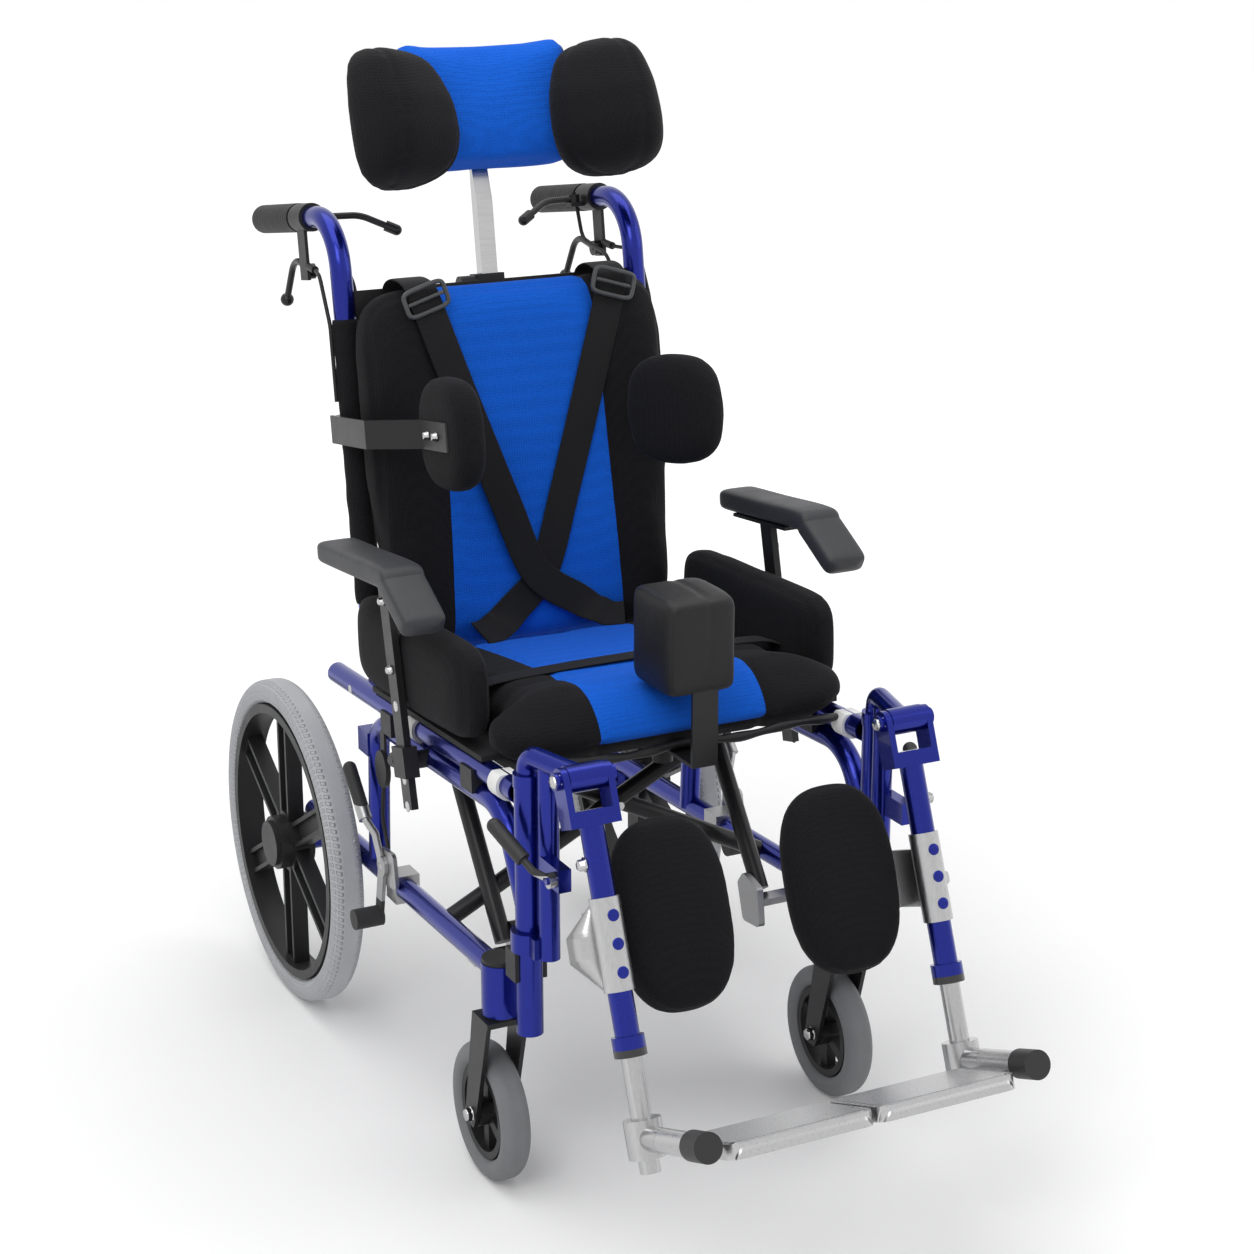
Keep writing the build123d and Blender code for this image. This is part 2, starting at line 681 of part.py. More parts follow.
def arm_clamps():
    """Clamps on short stubs that hold the upright bars of the armrests, each with a hand knob."""
    outer_x = ARM_BAR_T / 2 + CLAMP_WALL
    outer_y = ARM_BAR_W / 2 + CLAMP_WALL
    lump = block((-outer_x, outer_x), (-outer_y, outer_y),
            (-CLAMP_DROP - CLAMP_H / 2, -CLAMP_DROP + CLAMP_H / 2))
    slot = block((-ARM_BAR_T / 2 - SLIDE, ARM_BAR_T / 2 + SLIDE),
            (-ARM_BAR_W / 2 - SLIDE, ARM_BAR_W / 2 + SLIDE), (-500, 500))
    knob = rod((0, outer_y, -CLAMP_DROP), (0, outer_y + 16, -CLAMP_DROP), 9)
    stub_y = ARM_TOP_Y - CLAMP_DROP * math.sin(math.radians(ARM_LEAN))
    stub_z = ARM_TOP_Z - CLAMP_DROP * math.cos(math.radians(ARM_LEAN))
    stub = rod((FRAME_X, stub_y, stub_z), (ARM_X - outer_x + 1, stub_y, stub_z), 10) - TOP_RAIL_SOLID
    stub = stub - seat_rail(TUBE_R + TOUCH)
    stub = max(stub.solids(), key=lambda solid: solid.volume)
    return [on_side(ARM * (lump - slot + knob) + stub, sign) for _, sign in SIDES]


def cable_guards():
    """Oval guards on the top rails above the wheel locks."""
    face_x = FRAME_X + TUBE_R + TOUCH
    oval = Pos(face_x, GUARD_Y, GUARD_Z) * extrude(Plane.YZ * Ellipse(17, 22), 6)
    tab = block((face_x, face_x + 3), (GUARD_Y - 6, GUARD_Y + 6), (GUARD_Z, TOP_RAIL_REAR_Z + 4))
    return [on_side(oval + tab, sign) for _, sign in SIDES]


save("rail_rings", *rail_rings())
save("frame_fittings", *rail_saddles(), *caster_caps(), *post_latches(), pommel_guide(), *arm_clamps(),
        *cable_guards())


def lock_plates():
    """Steel plates clamped to the lower rails that carry the wheel locks."""
    outline = ((LOCK_Y - 34, LOCK_Z - 20), (LOCK_Y + 16, LOCK_Z - 24), (LOCK_Y + 16, LOCK_Z + 18),
            (LOCK_Y - 26, LOCK_Z + 22))
    plate = plate_yz(outline, (LOCK_X, LOCK_X + LOCK_PLATE_T), 8)
    rail = low_rail_z(LOCK_Y)
    wrap = block((LOCK_X - 2 * TUBE_R - 4, LOCK_X), (LOCK_Y - 22, LOCK_Y + 8),
            (rail - TUBE_R - 4, rail + TUBE_R + 4))
    plate = plate + (wrap - LOW_RAIL_SOLID)
    hole = rod((LOCK_X - 40, LOCK_Y, LOCK_Z), (LOCK_X + 40, LOCK_Y, LOCK_Z), LOCK_PIN_R + TOUCH)
    return [on_side(plate - hole, sign) for _, sign in SIDES]


def lock_lever():
    """Wheel lock: a flat arm with a round shoe below its pivot and a gripped handle above it."""
    x0 = LOCK_X + LOCK_PLATE_T + GAP
    x1 = x0 + LOCK_PLATE_T
    eye = rod((x0, LOCK_Y, LOCK_Z), (x1, LOCK_Y, LOCK_Z), 12)
    down = Vector(0, SHOE_Y - LOCK_Y, SHOE_Z - LOCK_Z)
    across = Vector(0, down.Z, -down.Y).normalized() * 8
    low = [(LOCK_Y + across.Y, LOCK_Z + across.Z), (LOCK_Y - across.Y, LOCK_Z - across.Z),
           (SHOE_Y - across.Y, SHOE_Z - across.Z), (SHOE_Y + across.Y, SHOE_Z + across.Z)]
    shoe = rod((x0, SHOE_Y, SHOE_Z), (x0 + SHOE_L, SHOE_Y, SHOE_Z), SHOE_R)
    mid_x = (x0 + x1) / 2
    grip_x = mid_x + 10
    stalk = pipe(((mid_x, LOCK_Y, LOCK_Z), (mid_x + 2, LOCK_GRIP_LOW[0] - 8, LOCK_GRIP_LOW[1] - 16),
                  (grip_x, *LOCK_GRIP_LOW), (grip_x, *LOCK_GRIP_HIGH)), [10, 10], LOCK_PLATE_T)
    stalk = stalk - block((0, x0), (-500, 500), (0, 500))
    grip = rod((grip_x, *LOCK_GRIP_LOW), (grip_x, *LOCK_GRIP_HIGH), LOCK_GRIP_R)
    grip = grip + Pos(grip_x, *LOCK_GRIP_HIGH) * Sphere(LOCK_GRIP_R)
    body = eye + plate_yz(low, (x0, x1)) + shoe + stalk + grip
    return body - rod((x0 - 1, LOCK_Y, LOCK_Z), (x1 + 20, LOCK_Y, LOCK_Z), LOCK_PIN_R + RUN)


def lock_cables():
    """Short cables from the guards down to the lock plates."""
    x = FRAME_X + TUBE_R + 3
    path = ((x, GUARD_Y, GUARD_Z - 22.2), (x, GUARD_Y + 6, LOCK_Z + 50),
            (LOCK_X + 1, LOCK_Y - 4, LOCK_Z + 22))
    return [on_side(pipe(path, [30], CABLE_R), sign) for _, sign in SIDES]


LOCK = lock_lever()
for name, sign in SIDES:
    save(f"{name}_lock_lever", on_side(LOCK, sign))
save("steel_plates", *strut_plates(), *lock_plates())
save("lock_cables", *lock_cables())


def frame_bolts():
    """Rear axles, pins of the back, the brace bolt and the pins of the wheel locks."""
    back_pin = rod((CANE_X - LUG_T - 4, PIVOT_Y, PIVOT_Z), (FRAME_X + TUBE_R, PIVOT_Y, PIVOT_Z), PIVOT_R)
    back_pin = back_pin + rod((CANE_X - LUG_T - 4, PIVOT_Y, PIVOT_Z),
            (CANE_X - LUG_T + 1 - GAP, PIVOT_Y, PIVOT_Z), PIVOT_R + 4)
    back_pin = back_pin + rod((CANE_X + 1 + GAP, PIVOT_Y, PIVOT_Z),
            (FRAME_X - TUBE_R - TOUCH, PIVOT_Y, PIVOT_Z), PIVOT_R + 4)
    lock_pin = rod((LOCK_X - 3, LOCK_Y, LOCK_Z), (LOCK_X + 2 * LOCK_PLATE_T + 2 * GAP, LOCK_Y, LOCK_Z),
            LOCK_PIN_R)
    cross_z = brace_bolt_z()
    brace_bolt = rod((0, CROSS_Y - CROSS_R - 8, cross_z), (0, CROSS_Y + 3 * CROSS_R + 9, cross_z), PIVOT_R)
    pairs = [on_side(bolt, sign) for bolt in (back_pin, lock_pin) for _, sign in SIDES]
    return pairs + rear_axles() + [brace_bolt]


save("frame_bolts", *frame_bolts())


def back_canes():
    """Bent push tubes with flat pivot lugs at their feet."""
    path = ((CANE_X, 0, CANE_LOW), (CANE_X, 0, CANE_HIGH), (CANE_X, GRIP_END, CANE_HIGH))
    tube = pipe(path, [CANE_BEND_R], TUBE_R)
    lug = block((CANE_X - LUG_T + 1, CANE_X + 1), (-TUBE_R, TUBE_R), (0, CANE_LOW + 20))
    lug = lug + rod((CANE_X - LUG_T + 1, 0, 0), (CANE_X + 1, 0, 0), LUG_R)
    hollow = pipe(path, [CANE_BEND_R], TUBE_R - TUBE_WALL)
    pin = rod((CANE_X - LUG_T, 0, 0), (CANE_X + 2, 0, 0), PIVOT_R + RUN)
    return [on_side(BACK * (tube - hollow + lug - pin), sign) for _, sign in SIDES]


def back_cushion():
    """Tall back cushion with rounded top corners, drawn-in sides and a crowned front."""
    low = TUBE_R + TOUCH
    stations = (
        (BACK_LOW, HIP_IN - 16, BACK_T - 10, 3),
        (BACK_LOW + 28, HIP_IN - 3, BACK_T, BACK_CROWN),
        (BACK_LOW + 112, HIP_IN - 3, BACK_T, BACK_CROWN),
        (BACK_LOW + 172, BACK_HALF_W - 2, BACK_T, BACK_CROWN),
        (BACK_HIGH - 60, BACK_HALF_W, BACK_T, BACK_CROWN),
        (BACK_HIGH - 22, BACK_HALF_W - 12, BACK_T - 2, BACK_CROWN - 1),
        (BACK_HIGH, BACK_HALF_W - 42, BACK_T - 14, 3),
    )
    sections = []
    for z, half, deep, crown in stations:
        plane = Plane(origin=(0, 0, z), x_dir=(-1, 0, 0), z_dir=(0, 0, 1))
        sections.append(pad_section(2 * half, low, low + deep, crown, plane))
    return BACK * loft(sections, ruled=True)


def push_grips():
    """Hand grips on the ends of the push tubes."""
    grip = Pos(CANE_X, GRIP_START, CANE_HIGH) * Rot(-90, 0, 0) * ring(GRIP_R, TUBE_R + TOUCH,
            GRIP_END - GRIP_START)
    cap = Pos(CANE_X, GRIP_END + TOUCH, CANE_HIGH) * Rot(-90, 0, 0) * extrude(Circle(GRIP_R), 5)
    grip = grip + Pos(CANE_X, GRIP_END, CANE_HIGH) * Rot(-90, 0, 0) * ring(GRIP_R, TUBE_R + TOUCH, 1) + cap
    return [on_side(BACK * grip, sign) for _, sign in SIDES]


def back_bar():
    """Cross bar between the push tubes with the headrest clamp and its knob."""
    bar = block((-CANE_X + TUBE_R + TOUCH, CANE_X - TUBE_R - TOUCH), (-BAR_T / 2, BAR_T / 2),
            (BAR_Z - BAR_H / 2, BAR_Z + BAR_H / 2))
    half_w = HEAD_POST_W / 2
    half_t = HEAD_POST_T / 2
    clamp = block((-half_w - 7, half_w + 7), (BAR_T / 2 - 1, HEAD_POST_Y + half_t + 6),
            (BAR_Z - 16, BAR_Z + 22))
    slot = block((-half_w - SLIDE, half_w + SLIDE),
            (HEAD_POST_Y - half_t - SLIDE, HEAD_POST_Y + half_t + SLIDE), (0, 900))
    knob = rod((-half_w - 7, HEAD_POST_Y, BAR_Z + 10), (-half_w - 27, HEAD_POST_Y, BAR_Z + 10), 11)
    return BACK * (bar + (clamp + knob - slot))


def lever_brackets():
    """Collars on the push tubes with a hanging ear for the brake lever and a tab for the recline lever."""
    collar = Pos(CANE_X, COLLAR_Y, CANE_HIGH) * Rot(-90, 0, 0) * ring(TUBE_R + 4, TUBE_R + TOUCH, COLLAR_L)
    ear_x = CANE_X + 4.5
    ear = block((ear_x, ear_x + 4), (LEVER_Y - 12, LEVER_Y + 12), (LEVER_Z - 10, CANE_HIGH - TUBE_R))
    ear = ear - Pos(CANE_X, 0, CANE_HIGH) * Rot(-90, 0, 0) * Cylinder(TUBE_R + TOUCH, 1000)
    pin = rod((CANE_X - 5, LEVER_Y, LEVER_Z), (ear_x + 4, LEVER_Y, LEVER_Z), HAND_PIN_R)
    barrel = rod((ear_x + 2, LEVER_Y - 12, LEVER_Z + 6), (ear_x + 2, LEVER_Y - 34, LEVER_Z + 2), 4.5)
    tab_x = CANE_X - TUBE_R - 2
    tab = block((tab_x - 18, tab_x), (LEVER_Y - 8, LEVER_Y + 8), (CANE_HIGH - 10, CANE_HIGH - 6))
    post = rod((RELEASE_X, LEVER_Y, CANE_HIGH - 8), (RELEASE_X, LEVER_Y, CANE_HIGH + 7), HAND_PIN_R)
    body = collar + ear + pin + barrel + tab + post
    return [on_side(BACK * body, sign) for _, sign in SIDES]


save("back_canes", *back_canes())
save("back_cushion", back_cushion())
save("push_grips", *push_grips())
save("back_fittings", back_bar(), *lever_brackets())


def brake_lever():
    """Curved hand lever with a ball end below the push grip."""
    eye = rod((CANE_X - 4.5, LEVER_Y, LEVER_Z), (CANE_X + 4.5 - GAP, LEVER_Y, LEVER_Z), 9)
    path = ((CANE_X, LEVER_Y, LEVER_Z), (CANE_X, LEVER_Y + 52, LEVER_Z + 16),
            (CANE_X, LEVER_Y + 92, LEVER_Z - 34))
    arm = pipe(path, [30], HAND_ARM_R)
    ball = Pos(*path[-1]) * Rot(0, 90, 0) * Sphere(HAND_BALL_R)
    hole = rod((CANE_X - 10, LEVER_Y, LEVER_Z), (CANE_X + 10, LEVER_Y, LEVER_Z), HAND_PIN_R + RUN)
    return BACK * (eye + arm + ball - hole)


def recline_lever():
    """Hand lever with a round tip that reaches inwards from the collar."""
    low = CANE_HIGH - 6 + GAP
    eye = Pos(RELEASE_X, LEVER_Y, low) * extrude(Circle(7), 10)
    path = ((RELEASE_X, LEVER_Y, low + 5), (RELEASE_X - 40, LEVER_Y - 4, low + 4),
            (RELEASE_X - RELEASE_LEN, LEVER_Y - 20, low - 16))
    arm = pipe(path, [40], HAND_ARM_R)
    back = Vector(*path[1]) - Vector(*path[2])
    start = Vector(*path[2]) + back.normalized() * RELEASE_TIP_L
    tip = round_ended_rod(tuple(start), path[2], RELEASE_TIP_R)
    hole = Pos(RELEASE_X, LEVER_Y, low - 5) * extrude(Circle(HAND_PIN_R + RUN), 20)
    return BACK * (eye + arm + tip - hole)


BRAKE = brake_lever()
RECLINE = recline_lever()
for name, sign in SIDES:
    save(f"{name}_brake_lever", on_side(BRAKE, sign))
    save(f"{name}_recline_lever", on_side(RECLINE, sign))


def control_cables():
    """Brake cables beside the push tubes and recline cables behind the cushion."""
    x = CANE_X + SLEEVE_R + CABLE_R + 1
    brake = ((CANE_X + 6.5, LEVER_Y - 34.9, LEVER_Z + 1.84), (x, LEVER_Y - 80, LEVER_Z - 4),
            (x, 0, LEVER_Z - 60),
             (x, 0, LATERAL_Z + BRACKET_H))
    tab_x = CANE_X - TUBE_R - 9
    recline = ((tab_x, LEVER_Y, CANE_HIGH - 11), (tab_x, LEVER_Y - 10, CANE_HIGH - 50),
            (tab_x, 18, BAR_Z + 30),
               (tab_x, 10, LATERAL_Z + BRACKET_H))
    runs = [pipe(brake, [18, 36], CABLE_R), pipe(recline, [24, 30], CABLE_R)]
    return [on_side(BACK * run, sign) for run in runs for _, sign in SIDES]


save("control_cables", *control_cables())


def flat_bar(points, height, thickness):
    """An upright flat bar bent along points in X and Y, centred on Z = 0."""
    line = Polyline(*points)
    face = offset(line, thickness / 2, side=Side.BOTH)
    face = make_face(face.edges()) if not isinstance(face, Face) else face
    return Pos(0, 0, -height / 2) * extrude(face, height)


def pad_middle_x(name):
    """Distance of a trunk pad's middle from the middle of the chair."""
    return LATERAL_FACE - TOUCH - LATERAL_T / 2 - LATERAL_SHIFT[name]


def lateral_bracket(name):
    """Bent flat bar clamped to a push tube that carries a trunk pad."""
    turn = math.radians(LATERAL_TURN[name])
    out = LATERAL_T / 2 + TOUCH + BRACKET_T / 2
    x = pad_middle_x(name) + out * math.cos(turn)
    y = LATERAL_Y + out * math.sin(turn)
    across = PLATE_REACH * math.sin(turn)
    along = PLATE_REACH * math.cos(turn)
    bends = ((BRACKET_X, 16), (BRACKET_X, -92), (x - across, y + along), (x + across, y - along))
    bar = flat_bar(bends, BRACKET_H, BRACKET_T)
    clamp = Pos(CANE_X, 0, -BRACKET_H / 2) * ring(BRACKET_X - CANE_X, TUBE_R + TOUCH, BRACKET_H)
    relief = block((0, BRACKET_X - BRACKET_T), (-60, -TUBE_R), (-100, 100))
    return BACK * Pos(0, 0, LATERAL_Z) * (bar + (clamp - relief))


def lateral_pad(name):
    """Rounded trunk pad on its bracket."""
    pad = Box(LATERAL_T, LATERAL_L, LATERAL_H)
    pad = fillet(pad.edges().filter_by(Axis.X), LATERAL_ROUND)
    pad = fillet(pad.edges().filter_by(GeomType.LINE) + pad.edges().filter_by(GeomType.CIRCLE),
            LATERAL_T / 3)
    return BACK * Pos(pad_middle_x(name), LATERAL_Y, LATERAL_Z) * Rot(0, 0, LATERAL_TURN[name]) * pad


def shoulder_straps():
    """Two flat straps that cross in front of the back cushion."""
    front = TUBE_R + BACK_T + BACK_CROWN + 2 * TOUCH
    length = math.hypot(STRAP_TOP_X + STRAP_LOW_X, STRAP_TOP_Z - STRAP_LOW_Z)
    lean = math.degrees(math.atan2(STRAP_TOP_X + STRAP_LOW_X, STRAP_TOP_Z - STRAP_LOW_Z))
    straps = []
    for index, (_, sign) in enumerate(SIDES):
        y = -front - STRAP_T / 2 - index * (STRAP_T + TOUCH)
        middle = Pos(sign * (STRAP_TOP_X - STRAP_LOW_X) / 2, y, (STRAP_TOP_Z + STRAP_LOW_Z) / 2)
        straps.append(BACK * middle * Rot(0, sign * lean, 0) * Box(STRAP_W, STRAP_T, length))
    return straps


save("lateral_brackets", *[on_side(lateral_bracket(name), sign) for name, sign in SIDES])
save("lateral_pads", *[on_side(lateral_pad(name), sign) for name, sign in SIDES])
save("shoulder_straps", *shoulder_straps())

# Headrest, in a frame tilted back from the back's own
HEAD = BACK * Pos(0, HEAD_Y, HEAD_Z) * Rot(-HEAD_TILT, 0, 0)


def wing_box(sign, grow):
    """Sharp box of one headrest wing."""
    place = HEAD * Pos(sign * WING_X, WING_Y, WING_Z) * Rot(0, 0, -sign * WING_TURN)
    return place * Box(WING_L + grow, WING_T + grow, WING_H + grow)


def headrest_post():
    """Square post with the plate and the side arms that carry the head pads."""
    post = BACK * block((-HEAD_POST_W / 2, HEAD_POST_W / 2),
            (HEAD_POST_Y - HEAD_POST_T / 2, HEAD_POST_Y + HEAD_POST_T / 2),
                        (HEAD_POST_LOW, HEAD_Z + 20))
    plate = HEAD * block((-60, 60), (HEAD_T + TOUCH, HEAD_T + 5), (-30, 30))
    arm = flat_bar(((40, HEAD_T + 7), (112, HEAD_T + 7), (152, -22)), 40, 4)
    arms = [on_side(HEAD * arm, sign) - wing_box(sign, 2 * TOUCH) for _, sign in SIDES]
    body = post - HEAD * block((-200, 200), (-200, HEAD_T + TOUCH), (-200, 200)) + plate
    for arm_side in arms:
        body = body + max(arm_side.solids(), key=lambda solid: solid.volume)
    return body


def headrest_pad():
    """Centre pad of the headrest."""
    pad = block((-HEAD_HALF_W, HEAD_HALF_W), (0, HEAD_T), (-HEAD_H / 2, HEAD_H / 2))
    pad = fillet(pad.edges().filter_by(Axis.Y), HEAD_ROUND)
    front = pad.edges().group_by(Axis.Y)[0]
    return HEAD * fillet(front, HEAD_ROUND - 4)


def headrest_wings():
    """Side pads of the headrest, turned towards the head."""
    return [fillet(wing_box(sign, 0).edges(), WING_ROUND) for _, sign in SIDES]


save("headrest_post", headrest_post())
save("headrest_pad", headrest_pad())
save("headrest_wings", *headrest_wings())


def pad_floor(y):
    """Height of the arm pad's underside at a place along the chair."""
    share = (ARM_PAD_REAR - y) / (ARM_PAD_REAR - ARM_PAD_BEND)
    return ARM_PAD_REAR_Z + share * (ARM_PAD_BEND_Z - ARM_PAD_REAR_Z) - ARM_PAD_T


def arm_bar():
    """Leaning upright bar with the plate below the arm pad and spacers for the hip cushion."""
    bar = ARM * block((-ARM_BAR_T / 2, ARM_BAR_T / 2), (-ARM_BAR_W / 2, ARM_BAR_W / 2), (-ARM_BAR_L, 8))
    y0 = ARM_TOP_Y - 50
    y1 = ARM_TOP_Y + 70
    outline = ((y1, pad_floor(y1) - TOUCH), (y0, pad_floor(y0) - TOUCH), (y0, pad_floor(y0) - 4),
            (y1, pad_floor(y1) - 4))
    tray = plate_yz(outline, (ARM_X - 8, ARM_PAD_X + 12))
    above = plate_yz(((y1, pad_floor(y1) - TOUCH), (y0, pad_floor(y0) - TOUCH), (y0, 800), (y1, 800)),
            (ARM_X - 40, ARM_X + 40))
    body = bar - above + tray
    for drop in HIP_BOLTS:
        body = body + ARM * rod((HIP_OUT + TOUCH - ARM_X, 0, -drop), (0, 0, -drop), 8)
    return body


def arm_pad():
    """Arm pad that bends down at its front."""
    top = ((ARM_PAD_REAR, ARM_PAD_REAR_Z), (ARM_PAD_BEND, ARM_PAD_BEND_Z), (ARM_PAD_TIP, ARM_PAD_TIP_Z))
    low = ((ARM_PAD_TIP + 12, ARM_PAD_TIP_Z - 20), (ARM_PAD_BEND + 8, pad_floor(ARM_PAD_BEND + 8)),
            (ARM_PAD_REAR, pad_floor(ARM_PAD_REAR)))
    pad = plate_yz(top + low, (ARM_PAD_X - ARM_PAD_W / 2, ARM_PAD_X + ARM_PAD_W / 2))
    corners = pad.edges().filter_by(Axis.X)
    pad = fillet(corners.sort_by(Axis.Z)[-1:], 30)
    return fillet(pad.edges().filter_by(GeomType.LINE).filter_by(Axis.X,
            reverse=True).group_by(Axis.X)[0], 7)


def hip_cushion():
    """Side cushion between the arm bar and the seat."""
    pad = block((HIP_IN, HIP_OUT), (HIP_FRONT, HIP_REAR), (HIP_LOW, HIP_HIGH))
    pad = fillet(pad.edges().filter_by(Axis.X), HIP_ROUND)
    faces = pad.faces().sort_by(Axis.X)
    return SEAT * fillet(faces[0].edges() + faces[-1].edges(), HIP_EDGE)


BAR = arm_bar()
ARM_PAD = arm_pad()
HIP = hip_cushion()
for name, sign in SIDES:
    save(f"{name}_arm_bar", on_side(BAR, sign))
    save(f"{name}_arm_pad", on_side(ARM_PAD, sign))
    save(f"{name}_hip_cushion", on_side(HIP, sign))


def pommel_bracket():
    """Flat bar from below the pommel, down past the cushion and back below the seat board."""
    half = POMMEL_BAR_W / 2
    y1 = POMMEL_BAR_Y
    y0 = y1 - POMMEL_BAR_T
    top = POMMEL_LOW - TOUCH
    body = block((-half, half), (y0, POMMEL_REAR - 12), (top - POMMEL_BAR_T, top))
    body = body + block((-half, half), (y0, y1), (POMMEL_BAR_LOW, top))
    return body + block((-half, half), (y0, POMMEL_BAR_REAR),
            (POMMEL_BAR_LOW, POMMEL_BAR_LOW + POMMEL_BAR_T))


def pommel_pad():
    """Rounded pad between the thighs."""
    pad = block((-POMMEL_HALF_W, POMMEL_HALF_W), (POMMEL_FRONT, POMMEL_REAR), (POMMEL_LOW, POMMEL_HIGH))
    pad = fillet(pad.edges().filter_by(Axis.Z), POMMEL_ROUND)
    return fillet(pad.faces().sort_by(Axis.Z)[-1].edges(), POMMEL_ROUND - 4)


save("pommel_bracket", pommel_bracket())
save("pommel_pad", pommel_pad())


def hanger():
    """Swing-away hanger: pin in the frame's post, elbow, pivot barrel, down tube and lower ring."""
    pin = Pos(FRAME_X, POST_Y, POST_HIGH - HANGER_PIN_L) * Cylinder(
        HANGER_PIN_R, HANGER_PIN_L + 10, align=(Align.CENTER, Align.CENTER, Align.MIN))
    bush = Pos(FRAME_X, POST_Y, POST_HIGH + GAP) * Cylinder(POST_R + 1, 14,
            align=(Align.CENTER, Align.CENTER, Align.MIN))
    elbow = pipe(((FRAME_X, POST_Y, POST_HIGH + 2), (FRAME_X, POST_Y, HANGER_Z), (LEG_X, LEG_Y, LEG_Z)),
            [16], DOWN_R)
    barrel = rod((LEG_X - BARREL_W / 2, LEG_Y, LEG_Z), (LEG_X + BARREL_W / 2, LEG_Y, LEG_Z), BARREL_R)
    down = rod((DOWN_X, DOWN_Y, ARM_LOW_Z), (DOWN_X, DOWN_Y, HANGER_Z - 4), DOWN_R)
    loop = Pos(FRAME_X, POST_Y, ARM_LOW_Z) * extrude(Circle(POST_R + GAP + 5), ARM_LOW_H)
    strap = block((DOWN_X - DOWN_R, FRAME_X + 8), (DOWN_Y, POST_Y - POST_R),
            (ARM_LOW_Z, ARM_LOW_Z + ARM_LOW_H))
    ear = block((DOWN_X - 3, LEVER_EYE[0] - 2), (LEVER_EYE[1] - 9, DOWN_Y),
            (LEVER_EYE[2] - 12, LEVER_EYE[2] + 12))
    body = elbow + barrel + down + loop + strap + ear
    body = body - Pos(FRAME_X, POST_Y, 0) * Cylinder(POST_R + GAP, 2 * (POST_HIGH - 4))
    body = body + bush + pin
    lever_pin = rod((DOWN_X, LEVER_EYE[1], LEVER_EYE[2]),
            (LEVER_EYE[0] + 8, LEVER_EYE[1], LEVER_EYE[2]), LEG_PIN_R - 1)
    bore = rod((LEG_X - BARREL_W, LEG_Y, LEG_Z), (LEG_X + BARREL_W, LEG_Y, LEG_Z), LEG_PIN_R + RUN)
    return body - bore + lever_pin


def leg_lever():
    """Release lever with a grip that reaches out and back from the hanger."""
    x, y, z = LEVER_EYE
    eye = rod((x - 2 + GAP, y, z), (x + 6, y, z), 8)
    bend = (x + 16, y + 12, z + 8)
    arm = pipe(((x + 2, y, z), bend, LEVER_TIP), [10], RELEASE_ROD_R)
    start = tuple(b + (t - b) * 0.25 for b, t in zip(bend, LEVER_TIP))
    grip = round_ended_rod(start, LEVER_TIP, RELEASE_GRIP_R)
    hole = rod((x - 10, y, z), (x + 10, y, z), LEG_PIN_R - 1 + RUN)
    return eye + arm + grip - hole


def leg_tube():
    """Fork on the hanger's barrel and the upper tube of the leg rest."""
    inner = BARREL_W / 2 + GAP
    cheek = block((inner, inner + CHEEK_T), (-13, 13), (-44, 0)) + rod((inner, 0, 0),
            (inner + CHEEK_T, 0, 0), 13)
    pin = rod((-inner - CHEEK_T - 4, 0, 0), (inner + CHEEK_T + 4, 0, 0), LEG_PIN_R)
    for end in (-1, 1):
        pin = pin + rod((end * (inner + CHEEK_T), 0, 0), (end * (inner + CHEEK_T + 5), 0, 0), LEG_PIN_R + 4)
    head = block((-inner - CHEEK_T, inner + CHEEK_T), (-13, 13), (-48, -32))
    tube = rod((0, 0, -40), (0, 0, -LEG_TUBE_L), TUBE_R)
    collar = rod((0, 0, -LEG_TUBE_L + 20), (0, 0, -LEG_TUBE_L), TUBE_R + 4)
    bore = rod((0, 0, -100), (0, 0, -LEG_TUBE_L), FOOT_R + RUN)
    return LEG * (cheek + mirror(cheek, about=Plane.YZ) + pin + head + tube + collar - bore)


def calf_sleeve():
    """Sliding sleeve on the leg tube, and the bracket on it that carries the calf pad."""
    sleeve = Pos(0, 0, -SLEEVE_TOP - SLEEVE_L) * ring(SLEEVE_OUT_R, TUBE_R + RUN, SLEEVE_L)
    back = CALF_BACK + CALF_T / 2 + TOUCH
    span = (-SLEEVE_TOP - SLEEVE_L + CALF_PLATE_INSET, -SLEEVE_TOP - CALF_PLATE_INSET)
    plate = block((-CALF_PLATE_W, 0), (back, back + CALF_PLATE_T), span)
    web = block((-CHEEK_T, 0), (0, back + CALF_PLATE_T), span)
    bracket = plate + web - rod((0, 0, 0), (0, 0, -LEG_TUBE_L), SLEEVE_OUT_R + TOUCH)
    return LEG * (sleeve + bracket)


def calf_pad():
    """Oval calf pad beside the leg tube."""
    centre_x = CALF_IN + CALF_W / 2 - LEG_X
    face = Plane(origin=(centre_x, CALF_BACK + CALF_T / 2, -CALF_DROP), x_dir=(1, 0, 0), z_dir=(0, -1, 0))
    pad = extrude(face * RectangleRounded(CALF_W, CALF_H, CALF_W / 2 - 3), CALF_T)
    faces = pad.faces().sort_by(Axis.Y)
    return LEG * fillet(faces[0].edges() + faces[-1].edges(), CALF_EDGE)


